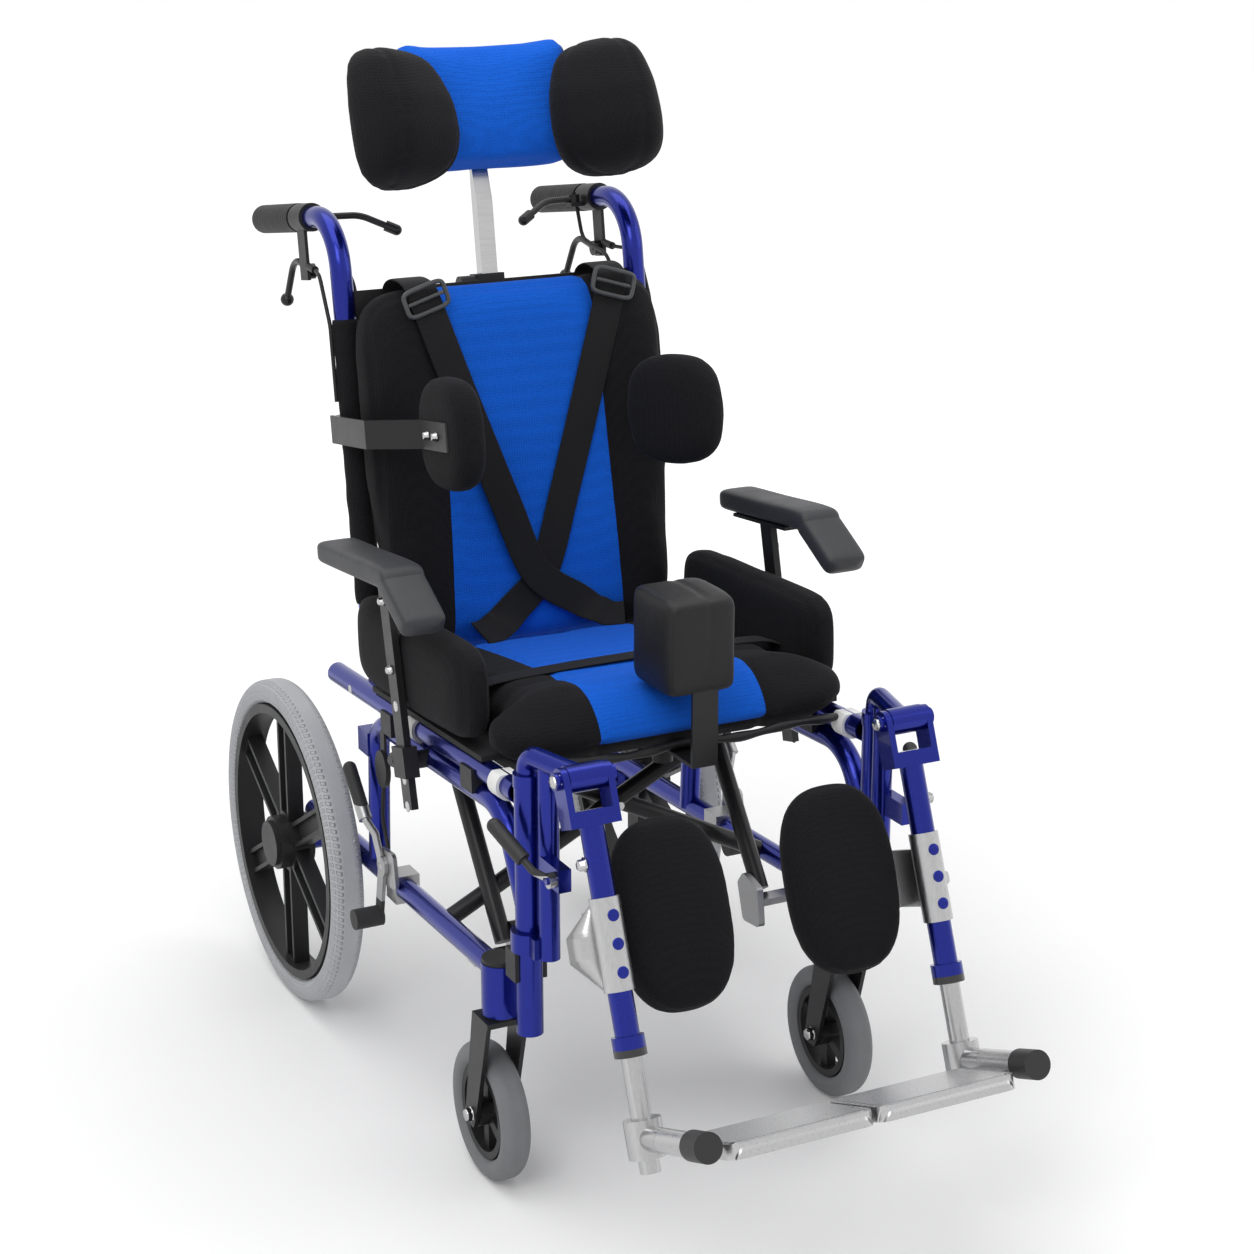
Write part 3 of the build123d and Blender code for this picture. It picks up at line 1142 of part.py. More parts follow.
def foot_tube():
    """Sliding lower tube, and the block clamped on its end with the hinge pin and the end knob."""
    tube = rod((0, 0, -FOOT_TOP), (0, 0, -FOOT_BOTTOM), FOOT_R)
    clamp = rod((0, 0, -HINGE_DROP + BLOCK_R), (0, 0, -HINGE_DROP - BLOCK_R), BLOCK_R)
    neck = rod((0, 0, -HINGE_DROP), (0, -HINGE_START, -HINGE_DROP), HINGE_OUT_R)
    pin = rod((0, -HINGE_START + 4, -HINGE_DROP), (0, -HINGE_END - 2, -HINGE_DROP), HINGE_R)
    knob = rod((0, -HINGE_END - GAP, -HINGE_DROP), (0, -HINGE_END - KNOB_L, -HINGE_DROP), KNOB_R)
    bore = rod((0, 0, -FOOT_TOP), (0, 0, -FOOT_BOTTOM - TOUCH), FOOT_R + TOUCH)
    hinge = clamp + neck + pin + knob - bore
    return LEG * (tube + hinge)


def footplate():
    """Hinged foot plate with a barrel on the block's pin."""
    barrel = rod((0, -HINGE_START - GAP, -HINGE_DROP), (0, -HINGE_END, -HINGE_DROP), HINGE_OUT_R)
    front = -HINGE_END - KNOB_L + 2
    inner = PLATE_MIDDLE - LEG_X
    outer = -BLOCK_R - 4
    plate = block((inner, outer), (front, front + PLATE_D),
            (-HINGE_DROP - PLATE_DROP - PLATE_H, -HINGE_DROP - PLATE_DROP))
    plate = fillet(plate.edges().filter_by(Axis.Z), PLATE_ROUND)
    web = block((outer - 10, 0), (-HINGE_END, -HINGE_START - GAP),
            (-HINGE_DROP - PLATE_DROP - 6, -HINGE_DROP - PLATE_DROP))
    top = -HINGE_DROP - PLATE_DROP
    tread = block((inner + TREAD_EDGE, outer - TREAD_EDGE),
            (front + TREAD_EDGE, front + PLATE_D - TREAD_EDGE),
                  (top, top + TREAD_RISE))
    tread = fillet(tread.edges().filter_by(Axis.Z), PLATE_ROUND - TREAD_EDGE)
    bore = rod((0, 0, -HINGE_DROP), (0, -300, -HINGE_DROP), HINGE_R + RUN)
    return LEG * (barrel + plate + tread + web - bore)


LEG_PIECES = {
    "hanger": hanger(), "leg_lever": leg_lever(), "leg_tube": leg_tube(), "calf_sleeve": calf_sleeve(),
    "calf_pad": calf_pad(), "foot_tube": foot_tube(), "footplate": footplate(),
}
for name, sign in SIDES:
    for piece, shape in LEG_PIECES.items():
        save(f"{name}_{piece}", on_side(shape, sign))
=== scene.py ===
"""Looks of the reclining positioning wheelchair: cushions, straps, trim, finishes and stage."""

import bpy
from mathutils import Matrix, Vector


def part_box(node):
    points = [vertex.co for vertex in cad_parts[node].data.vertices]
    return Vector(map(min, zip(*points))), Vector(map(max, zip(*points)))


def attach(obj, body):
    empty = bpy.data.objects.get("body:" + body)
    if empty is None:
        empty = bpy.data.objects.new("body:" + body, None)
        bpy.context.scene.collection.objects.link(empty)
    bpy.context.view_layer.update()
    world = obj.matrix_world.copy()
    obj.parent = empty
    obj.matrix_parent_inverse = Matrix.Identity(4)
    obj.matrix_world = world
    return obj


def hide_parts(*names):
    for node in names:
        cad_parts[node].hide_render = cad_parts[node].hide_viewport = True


bl_info = {
    "name": "Reclining Positioning Wheelchair",
    "version": (1, 0, 0),
    "blender": (4, 5, 0),
    "location": "View3D > Sidebar > Wheelchair",
    "description": "Dresses the wheelchair with cushions, straps, trim, finishes and a studio",
    "category": "Object",
}

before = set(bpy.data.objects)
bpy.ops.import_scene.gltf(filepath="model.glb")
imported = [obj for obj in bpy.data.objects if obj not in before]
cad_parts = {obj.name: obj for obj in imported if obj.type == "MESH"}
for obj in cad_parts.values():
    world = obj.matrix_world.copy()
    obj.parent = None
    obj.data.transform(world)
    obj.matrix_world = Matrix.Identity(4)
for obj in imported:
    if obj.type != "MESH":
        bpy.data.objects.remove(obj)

import math

import bpy
import numpy as np
from bpy.props import FloatProperty, FloatVectorProperty, PointerProperty
from bpy.types import Operator, Panel, PropertyGroup
from mathutils import Matrix, Vector

# Leaning frames: origin in metres and lean in degrees about X
SEAT = ((0.0, 0.01509, 0.4523), 3.05)
BACK = ((0.0, 0.23009, 0.4400), 8.5)
LEG_X = 0.184
LEG = ((0.0, -0.32091, 0.5130), 22.0)
WHEEL_HUB = (0.38709, 0.200)
CASTER_HUB = (-0.14591, 0.076)
WAYS = (1.0, -1.0)
SIDES = tuple(zip(("left", "right"), WAYS))

# Half widths of the blue panels, and the middle of the hip cushions
SEAT_PANEL = 0.098
HEAD_PANEL = 0.100
HIP_X = 0.2085

# Headrest wings: middle, half sizes and turn in the headrest's frame
WING_X, WING_Y, WING_Z = 0.124, -0.040, -0.015
WING_HALF_W, WING_HALF_D, WING_HALF_H = 0.064, 0.045, 0.080
WING_TURN = -30.0

# Camera place and aim, solved from the photograph
CAMERA_SPOT = (-1.2147, -2.4551, 1.4167)
CAMERA_AIM = (0.0, -0.0509, 0.5639)


def place(points, where):
    """Points of a leaning frame in the shared frame: turned about X, then moved."""
    (ox, oy, oz), lean = where
    c, s = math.cos(math.radians(lean)), math.sin(math.radians(lean))
    p = np.asarray(points, float)
    x, y, z = p[..., 0], p[..., 1], p[..., 2]
    return np.stack([x + ox, oy + y * c + z * s, oz - y * s + z * c], -1)


HEAD = (tuple(place((0.0, -0.031, 0.654), BACK)), BACK[1] + 12.5)


def tint(label, words, value):
    """A colour value of the panel."""
    return FloatVectorProperty(
        name=label, description=words, subtype="COLOR", size=3, min=0, max=1, default=value)


def length(label, words, value):
    """A length value of the panel, in metres."""
    return FloatProperty(name=label, description=words, unit="LENGTH", min=0, default=value, precision=4)


class WheelchairColours(PropertyGroup):
    """Colours of paint, fabric and rubber."""
    paint: tint("Frame paint", "Metallic paint of the tubes", (0.006, 0.013, 0.185))
    blue: tint("Centre fabric", "Spacer fabric of the centre panels", (0.005, 0.100, 0.56))
    black: tint("Side fabric", "Spacer fabric of the sides and pads", (0.0060, 0.0060, 0.0070))
    leather: tint("Pommel cover", "Grained cover of the pommel", (0.012, 0.012, 0.013))
    moulded: tint("Arm pads", "Moulded foam of the arm pads", (0.040, 0.041, 0.045))
    webbing: tint("Webbing", "Woven straps", (0.008, 0.008, 0.009))
    tyre: tint("Tyres", "Grey solid tyres", (0.47, 0.48, 0.50))


class WheelchairSoft(PropertyGroup):
    """Sizes of the padding."""
    voxel: length("Cloth cell", "Edge of the cloth mesh before it is blown up", 0.0055)
    swell: length("Swell", "Largest movement of a pad cover", 0.009)
    big_swell: length("Large swell", "Largest movement of a seat or back cover", 0.022)
    seam: length("Seam depth", "Depth of a stitched seam", 0.0028)
    strap: length("Strap width", "Width of the shoulder straps", 0.038)
    band: length("Strap thickness", "Thickness of the webbing", 0.0024)


class WheelchairStage(PropertyGroup):
    """Studio values."""
    lens: FloatProperty(name="Lens", description="Focal length of the camera", unit="CAMERA", default=74.6)
    key: FloatProperty(name="Key light", description="Power of the main lamp", unit="POWER", default=24.0)
    fill: FloatProperty(name="Fill light", description="Power of the second lamp", unit="POWER", default=9.0)
    top: FloatProperty(name="Top light", description="Power of the lamp overhead", unit="POWER", default=48.0)
    sky: FloatProperty(name="Surround", description="Strength of the surrounding light", default=0.55)
    floor: tint("Floor", "Colour of the pale floor", (0.975, 0.975, 0.975))


class Sock:
    """One value inside a finish; arithmetic on it adds nodes."""

    def __init__(self, finish, socket):
        self.finish = finish
        self.socket = socket

    def __add__(self, other):
        return self.finish.math("ADD", self, other)

    def __sub__(self, other):
        return self.finish.math("SUBTRACT", self, other)

    def __rsub__(self, other):
        return self.finish.math("SUBTRACT", other, self)

    def __mul__(self, other):
        return self.finish.math("MULTIPLY", self, other)

    def __truediv__(self, other):
        return self.finish.math("DIVIDE", self, other)

    def __rtruediv__(self, other):
        return self.finish.math("DIVIDE", other, self)

    def __neg__(self):
        return self * -1.0

    def __abs__(self):
        return self.finish.math("ABSOLUTE", self)

    def __lt__(self, other):
        return self.finish.math("LESS_THAN", self, other)

    def __gt__(self, other):
        return self.finish.math("GREATER_THAN", self, other)

    __radd__ = __add__
    __rmul__ = __mul__


class Finish:
    """A material with one principled shader, and short ways to add its nodes."""

    def __init__(self, name, **constants):
        self.material = bpy.data.materials.new(name)
        self.material.use_nodes = True
        self.tree = self.material.node_tree
        self.shader = self.tree.nodes["Principled BSDF"]
        for label, value in constants.items():
            self.put(label.replace("_", " ").title().replace("Ior", "IOR"), value)
        self._axes = None

    def node(self, kind, inputs=(), out=0, **settings):
        """Add any node, join its inputs and give back one output."""
        made = self.tree.nodes.new(kind)
        for label, value in settings.items():
            setattr(made, label, value)
        for key, value in dict(inputs).items():
            self.join(value, made.inputs[key])
        return Sock(self, made.outputs[out])

    def join(self, value, socket):
        """Link a value to a socket, or write it there as a constant."""
        if isinstance(value, Sock):
            self.tree.links.new(value.socket, socket)
        elif isinstance(value, tuple) and len(value) == 3 and socket.type == "RGBA":
            socket.default_value = (*value, 1.0)
        else:
            socket.default_value = value

    def put(self, label, value):
        """Set one of the shader's own inputs."""
        self.join(value, self.shader.inputs[label])
        return self

    def math(self, operation, *values):
        """One step of arithmetic."""
        return self.node("ShaderNodeMath", enumerate(values), operation=operation)

    def mix(self, share, first, second):
        """Blend of two colours."""
        return self.node(
            "ShaderNodeMix", {0: share, 6: first, 7: second}, out=2, data_type="RGBA")

    def ramp(self, value, low, high):
        """Value from 0 at low to 1 at high, held at the ends."""
        return self.node("ShaderNodeMapRange", {0: value, 1: low, 2: high})

    @property
    def place(self):
        """Position in the object's own coordinates."""
        return self.node("ShaderNodeTexCoord", out=3)

    @property
    def axes(self):
        """X, Y and Z of that position."""
        if self._axes is None:
            split = self.node("ShaderNodeSeparateXYZ", {0: self.place}).socket.node
            self._axes = [Sock(self, s) for s in split.outputs]
        return self._axes

    def local(self, where):
        """X, Y and Z in a leaning frame."""
        (_, oy, oz), lean = where
        c, s = math.cos(math.radians(lean)), math.sin(math.radians(lean))
        x, y, z = self.axes
        return x, (y - oy) * c - (z - oz) * s, (y - oy) * s + (z - oz) * c

    def noise(self, scale, detail=2.0, vector=None):
        """Soft noise between 0 and 1."""
        return self.node(
            "ShaderNodeTexNoise",
            {"Vector": vector or self.place, "Scale": scale, "Detail": detail})

    def cells(self, scale, randomness=1.0, vector=None):
        """Distance from the nearest point of a lattice."""
        return self.node(
            "ShaderNodeTexVoronoi",
            {"Vector": vector or self.place, "Scale": scale, "Randomness": randomness})

    def stretched(self, x, y, z):
        """Position scaled along each axis."""
        return self.node("ShaderNodeMapping", {0: self.place, 3: (x, y, z)})

    def bump(self, height, depth, strength=1.0):
        """Relief from a height."""
        made = self.node("ShaderNodeBump", {"Height": height, "Distance": depth, "Strength": strength})
        return self.put("Normal", made)


def scaled(colour, factor):
    """A colour made lighter or darker."""
    return tuple(min(1.0, c * factor) for c in colour)


def fabric(name, colour, panel_colour=None, mask=None, weave=330.0):
    """Spacer fabric: a sunk dot in each cell of a near-even lattice, with a slow shade."""
    f = Finish(name, roughness=0.85, sheen_weight=0.03, sheen_roughness=0.5, specular_ior_level=0.12)
    cell = f.cells(weave, 0.28)
    shade = f.ramp(cell, 0.15, 0.6) * 0.5 + f.noise(7.0, 3.0) * 0.35 + 0.25
    base = f.mix(shade, scaled(colour, 0.55), scaled(colour, 1.6))
    if panel_colour is not None:
        panel = f.mix(shade, scaled(panel_colour, 0.72), scaled(panel_colour, 1.18))
        base = f.mix(mask(f), base, panel)
    f.put("Base Color", base)
    f.bump(cell * -1.0 + f.noise(60.0, 2.0) * 0.4, 0.0011, 0.55)
    return f.material


def grained(name, colour, rough=0.5, grain=520.0, depth=0.0003):
    """Grained cover: fine cells, with a slow change of shine."""
    f = Finish(name, specular_ior_level=0.26)
    cell = f.cells(grain, 1.0)
    f.put("Base Color", f.mix(f.noise(14.0, 3.0), scaled(colour, 0.75), scaled(colour, 1.3)))
    f.put("Roughness", f.noise(35.0, 2.0) * 0.16 + (rough - 0.08))
    f.bump(cell + f.noise(140.0, 2.0) * 0.5, depth, 0.6)
    return f.material


def woven(name, colour):
    """Webbing: crossing ribs of a herringbone weave."""
    f = Finish(name, roughness=0.6, sheen_weight=0.04, specular_ior_level=0.14)
    x, z = f.axes[0], f.axes[2]
    first = f.math("SINE", (x * 0.9 + z) * 3300.0)
    second = f.math("SINE", (x * 0.9 - z) * 3300.0)
    f.put("Base Color", f.mix(first * 0.3 + 0.5, scaled(colour, 0.6), scaled(colour, 1.7)))
    f.bump(first * 0.5 + second * 0.5, 0.0005, 0.6)
    return f.material


def metallic_paint(name, colour, dark=None):
    """Metallic lacquer: fine flakes under a clear coat; dark is a mask of black parts."""
    f = Finish(name, coat_weight=0.3, coat_roughness=0.04)
    flake = f.cells(2600.0)
    slow = f.noise(9.0, 2.0)
    tone = f.mix(flake * 0.7 + slow * 0.3, scaled(colour, 0.8), scaled(colour, 1.7))
    metal, rough = 0.86, flake * 0.10 + 0.20
    if dark is not None:
        part = dark(f)
        tone = f.mix(part, tone, (0.012, 0.012, 0.013))
        metal = (1.0 - part) * 0.86
        rough = rough + part * 0.12
    f.put("Base Color", tone).put("Metallic", metal).put("Roughness", rough)
    f.bump(f.noise(240.0, 1.0), 0.00006, 0.3)
    return f.material


def satin(name, colour, rough=0.38, grain=900.0, depth=0.00012):
    """Powder coat or moulded plastic: fine grain and a slow change of shine."""
    f = Finish(name, specular_ior_level=0.3)
    f.put("Base Color", f.mix(f.noise(11.0, 3.0), scaled(colour, 0.75), scaled(colour, 1.35)))
    f.put("Roughness", f.noise(50.0, 2.0) * 0.14 + (rough - 0.07))
    f.bump(f.noise(grain, 2.0), depth, 0.5)
    return f.material


def metal(name, tone=0.62, rough=0.26, streak=(1.0, 1.0, 1.0), dark=None, ribs=None):
    """Bare metal: drawn streaks; dark is a mask of rubber parts, ribs a height of pressed lines."""
    f = Finish(name)
    lines = f.noise(420.0, 3.0, f.stretched(*streak))
    shade = f.mix(lines, (tone * 0.86,) * 3, (tone * 1.08, tone * 1.08, tone * 1.1))
    shine, body = lines * 0.16 + (rough - 0.08), 1.0
    if dark is not None:
        part = dark(f)
        shade = f.mix(part, shade, (0.013, 0.013, 0.014))
        body = 1.0 - part
        shine = shine + part * 0.3
    f.put("Base Color", shade).put("Roughness", shine).put("Metallic", body)
    if ribs is None:
        f.bump(lines, 0.00004, 0.4)
    else:
        f.bump(ribs(f), 0.0016, 0.9)
    return f.material


def tyre_rubber(name, colour, hub, count, tread):
    """Solid tyre: shallow blocks round the hub, made from the angle and the width."""
    f = Finish(name, specular_ior_level=0.3)
    x, y, z = f.axes
    dy, dz = y - hub[0], z - hub[1]
    angle = f.math("ARCTAN2", dz, dy)
    radius = f.math("SQRT", dy * dy + dz * dz)
    wave = f.math("SINE", angle * float(count) + f.math("SINE", abs(x) * 420.0) * 1.2)
    ring = f.math("SINE", radius * 1150.0)
    tone = f.noise(22.0, 4.0) * 0.7 + f.noise(300.0, 2.0) * 0.3
    f.put("Base Color", f.mix(tone, scaled(colour, 0.78), scaled(colour, 1.12)))
    f.put("Roughness", f.noise(80.0, 2.0) * 0.15 + 0.55)
    block = f.ramp(wave, -0.25, 0.25) * tread * f.ramp(ring, -0.4, 0.2)
    f.bump(block + f.noise(500.0, 2.0) * 0.08, 0.0022, 1.0)
    return f.material


def ribbed_rubber(name, axis, pitch):
    """Hand grip: rings across its length and a fine grain."""
    f = Finish(name, specular_ior_level=0.25)
    line = f.math("SINE", f.axes[axis] * (2.0 * math.pi / pitch))
    f.put("Base Color", f.mix(f.noise(40.0, 3.0), (0.008, 0.008, 0.009), (0.022, 0.022, 0.023)))
    f.put("Roughness", f.noise(70.0, 2.0) * 0.15 + 0.5)
    f.bump(f.ramp(line, -0.3, 0.5) + f.noise(700.0, 1.0) * 0.15, 0.0007, 0.6)
    return f.material


def solid(rings, loop=False):
    """Points and faces of a closed surface through rings of points, ends closed by a middle point."""
    rings = np.asarray(rings, float)
    rows, around = rings.shape[:2]
    index = np.arange(rows * around).reshape(rows, around)
    first = index if loop else index[:-1]
    second = np.roll(index, -1, axis=0) if loop else index[1:]
    quads = np.stack(
        [first, np.roll(first, -1, axis=1), np.roll(second, -1, axis=1), second], -1).reshape(-1, 4)
    points = rings.reshape(-1, 3)
    tris = np.vstack([quads[:, [0, 1, 2]], quads[:, [0, 2, 3]]])
    caps = np.zeros((0, 3), int)
    if not loop:
        start, end = rows * around, rows * around + 1
        points = np.vstack([points, rings[0].mean(axis=0), rings[-1].mean(axis=0)])
        head, tail = index[0], index[-1]
        caps = np.vstack([
            np.stack([np.full(around, start), np.roll(head, -1), head], -1),
            np.stack([np.full(around, end), tail, np.roll(tail, -1)], -1)])
        tris = np.vstack([tris, caps])
    a, b, c = points[tris[:, 0]], points[tris[:, 1]], points[tris[:, 2]]
    if np.einsum("ij,ij->i", a, np.cross(b, c)).sum() < 0:
        quads, caps = quads[:, ::-1], caps[:, ::-1]
    return points, quads.tolist() + caps.tolist()


def piece(name, solids, material, body, replaces=()):
    """One object at the origin from several closed surfaces, riding on a body."""
    points, faces, start = [], [], 0
    for p, f in solids:
        points.append(p)
        faces += [[i + start for i in face] for face in f]
        start += len(p)
    mesh = bpy.data.meshes.new(name)
    mesh.from_pydata(np.vstack(points).tolist(), [], faces)
    mesh.materials.append(material)
    mesh.polygons.foreach_set("use_smooth", np.ones(len(mesh.polygons), bool))
    mesh.update()
    made = bpy.data.objects.new(name, mesh)
    bpy.context.scene.collection.objects.link(made)
    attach(made, body)
    if replaces:
        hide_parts(*replaces)
    return made


def bend(value, power):
    """Power of the size of a value, with its sign kept."""
    return np.sign(value) * np.abs(value) ** power


def pad(half_a, half_b, thick, square=4.0, edge=0.35, around=120, rows=36):
    """Rings of a pad: a rounded outline shrunk to a point on both faces; a, b across and c through."""
    u = np.linspace(0.0, 2.0 * np.pi, around, endpoint=False)
    v = np.linspace(0.02, np.pi - 0.02, rows)[:, None]
    share = np.sin(v) ** edge
    a = half_a * bend(np.cos(u), 2.0 / square) * share
    b = half_b * bend(np.sin(u), 2.0 / square) * share
    c = 0.5 * thick * bend(np.cos(v), 0.55) + 0.0 * u
    return np.stack([a, b, c], -1)


def tube(path, radius, around=16, closed=False):
    """Rings of a round tube along a path; radius is one value or one for each point."""
    path = np.asarray(path, float)
    if closed:
        along = np.roll(path, -1, axis=0) - np.roll(path, 1, axis=0)
    else:
        along = np.gradient(path, axis=0)
    along /= np.linalg.norm(along, axis=1)[:, None]
    side = np.cross(along, np.array([0.31, 0.17, 0.93]))
    side /= np.linalg.norm(side, axis=1)[:, None]
    up = np.cross(side, along)
    u = np.linspace(0.0, 2.0 * np.pi, around, endpoint=False)[None, :, None]
    r = np.broadcast_to(np.asarray(radius, float), (len(path),))[:, None, None]
    return path[:, None] + r * (np.cos(u) * side[:, None] + np.sin(u) * up[:, None])


def smooth_path(points, count):
    """Even points on a curve through the given points, each span a cubic with shared slopes."""
    p = np.asarray(points, float)
    p = np.vstack([2 * p[0] - p[1], p, 2 * p[-1] - p[-2]])
    t = np.linspace(0.0, len(p) - 3 - 1e-9, count)
    i = t.astype(int)
    s = (t - i)[:, None]
    a, b, c, d = p[i], p[i + 1], p[i + 2], p[i + 3]
    return 0.5 * (2 * b + (c - a) * s + (2 * a - 5 * b + 4 * c - d) * s ** 2
                  + (3 * b - a - 3 * c + d) * s ** 3)


def ribbon(path, face, width, thick, around=28):
    """Rings of a flat strap along a path; face is the direction its flat side looks to."""
    path = np.asarray(path, float)
    along = np.gradient(path, axis=0)
    along /= np.linalg.norm(along, axis=1)[:, None]
    face = np.broadcast_to(np.asarray(face, float), path.shape)
    across = np.cross(along, face)
    across /= np.linalg.norm(across, axis=1)[:, None]
    out = np.cross(across, along)
    u = np.linspace(0.0, 2.0 * np.pi, around, endpoint=False)[None, :, None]
    return (path[:, None] + 0.5 * width * bend(np.cos(u), 0.3) * across[:, None]
            + 0.5 * thick * bend(np.sin(u), 0.6) * out[:, None])


def turned(centre, axis, profile, sides=24, hexagon=False):
    """Rings of a turned form: a profile of (distance, radius) round an axis; hexagon flattens six sides."""
    axis = np.asarray(axis, float) / np.linalg.norm(axis)
    side = np.cross(axis, (0.31, 0.17, 0.93))
    side /= np.linalg.norm(side)
    up = np.cross(axis, side)
    u = np.linspace(0.0, 2.0 * np.pi, sides, endpoint=False)
    flat = np.ones_like(u)
    if hexagon:
        flat = math.cos(math.pi / 6) / np.cos((u + math.pi / 6) % (math.pi / 3) - math.pi / 6)
    ring = flat[:, None] * (np.cos(u)[:, None] * side + np.sin(u)[:, None] * up)
    return np.stack([np.asarray(centre) + axis * d + ring * r for d, r in profile])


def coordinates(mesh):
    """A mesh's points, one row each."""
    flat = np.empty(len(mesh.vertices) * 3)
    mesh.vertices.foreach_get("co", flat)
    return flat.reshape(-1, 3)


def write_coordinates(mesh, points):
    """Move a mesh's points to the given rows."""
    mesh.vertices.foreach_set("co", np.ascontiguousarray(points).ravel())
    mesh.update()


def inflate(made, swell, pressure=4.0, voxel=None, rounds=14):
    """Even out the mesh, then blow the cover up as cloth and keep each point within swell."""
    scene = bpy.context.scene
    remesh = made.modifiers.new("even", "REMESH")
    remesh.mode = "VOXEL"
    remesh.voxel_size = voxel or scene.wheelchair_soft.voxel
    evened = bpy.data.meshes.new_from_object(
        made.evaluated_get(bpy.context.evaluated_depsgraph_get()))
    made.modifiers.clear()
    made.data = evened
    evened.polygons.foreach_set("use_smooth", np.ones(len(evened.polygons), bool))
    rest = coordinates(evened)
    cloth = made.modifiers.new("cover", "CLOTH")
    cloth.settings.quality = 5
    cloth.settings.use_pressure = True
    cloth.settings.uniform_pressure_force = pressure
    cloth.settings.tension_stiffness = 18.0
    cloth.settings.compression_stiffness = 12.0
    cloth.settings.bending_stiffness = 3.0
    cloth.settings.effector_weights.gravity = 0.0
    cloth.collision_settings.use_collision = False
    cloth.point_cache.frame_start = 1
    cloth.point_cache.frame_end = 20
    for number in range(1, 21):
        scene.frame_set(number)
    blown = made.evaluated_get(bpy.context.evaluated_depsgraph_get())
    moved = coordinates(blown.to_mesh()) - rest
    blown.to_mesh_clear()
    made.modifiers.clear()
    scene.frame_set(1)
    moved -= moved.mean(axis=0)
    size = np.linalg.norm(moved, axis=1)[:, None]
    write_coordinates(evened, rest + moved * np.minimum(1.0, swell / np.maximum(size, 1e-9)))
    ease = made.modifiers.new("ease", "SMOOTH")
    ease.factor = 0.5
    ease.iterations = rounds
    eased = bpy.data.meshes.new_from_object(
        made.evaluated_get(bpy.context.evaluated_depsgraph_get()))
    made.modifiers.clear()
    made.data = eased
    return made


def stitch(made, distance, depth, width):
    """Press a seam into the cover: distance gives each point's distance from the seam line."""
    mesh = made.data
    points = coordinates(mesh)
    normals = np.empty(len(points) * 3)
    mesh.vertices.foreach_get("normal", normals)
    press = depth * np.exp(-(distance(points) / width) ** 2)
    write_coordinates(mesh, points - normals.reshape(-1, 3) * press[:, None])


def round_box(x, z, half_x, half_z, corner):
    """Signed distance from a rectangle with round corners."""
    dx, dz = np.abs(x) - half_x + corner, np.abs(z) - half_z + corner
    return np.hypot(np.maximum(dx, 0), np.maximum(dz, 0)) + np.minimum(np.maximum(dx, dz), 0) - corner


def refine(made):
    """Smooth a cover by one round of subdivision."""
    smooth = made.modifiers.new("smooth", "SUBSURF")
    smooth.levels = smooth.render_levels = 1
    return made


def unplace(points, where):
    """Points of the shared frame in a leaning frame."""
    (ox, oy, oz), lean = where
    c, s = math.cos(math.radians(lean)), math.sin(math.radians(lean))
    x, y, z = points[:, 0] - ox, points[:, 1] - oy, points[:, 2] - oz
    return x, y * c - z * s, y * s + z * c


def mirrored(made, name, body, replaces):
    """The same piece on the other side: X turned round and the faces flipped back."""
    copy = bpy.data.objects.new(name, made.data.copy())
    bpy.context.scene.collection.objects.link(copy)
    write_coordinates(copy.data, coordinates(copy.data) * np.array([-1.0, 1.0, 1.0]))
    copy.data.flip_normals()
    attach(copy, body)
    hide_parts(replaces)
    return copy


def wing_share(h):
    """Width and depth of a headrest wing at height h from -1 to 1: full low down, drawn in at the top."""
    h = np.clip(h, -1.0, 1.0)
    close = (1.0 - np.abs(h) ** 7) ** 0.45
    wide = np.interp(h, [-1.0, -0.3, 0.2, 0.7, 1.0], [0.94, 1.0, 0.96, 0.80, 0.62])
    deep = np.interp(h, [-1.0, -0.4, 0.1, 0.7, 1.0], [0.84, 1.0, 1.0, 0.82, 0.62])
    return wide * close, deep * close


def side_leg(sign):
    """Leaning frame of one leg rest."""
    return ((LEG_X * sign, LEG[0][1], LEG[0][2]), LEG[1])


def dress(material, *names):
    """Give CAD nodes their finish."""
    for name in names:
        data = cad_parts[name].data
        data.materials.clear()
        data.materials.append(material)


def both(word):
    """Names of a piece on both sides."""
    return [f"{side}_{word}" for side, _ in SIDES]


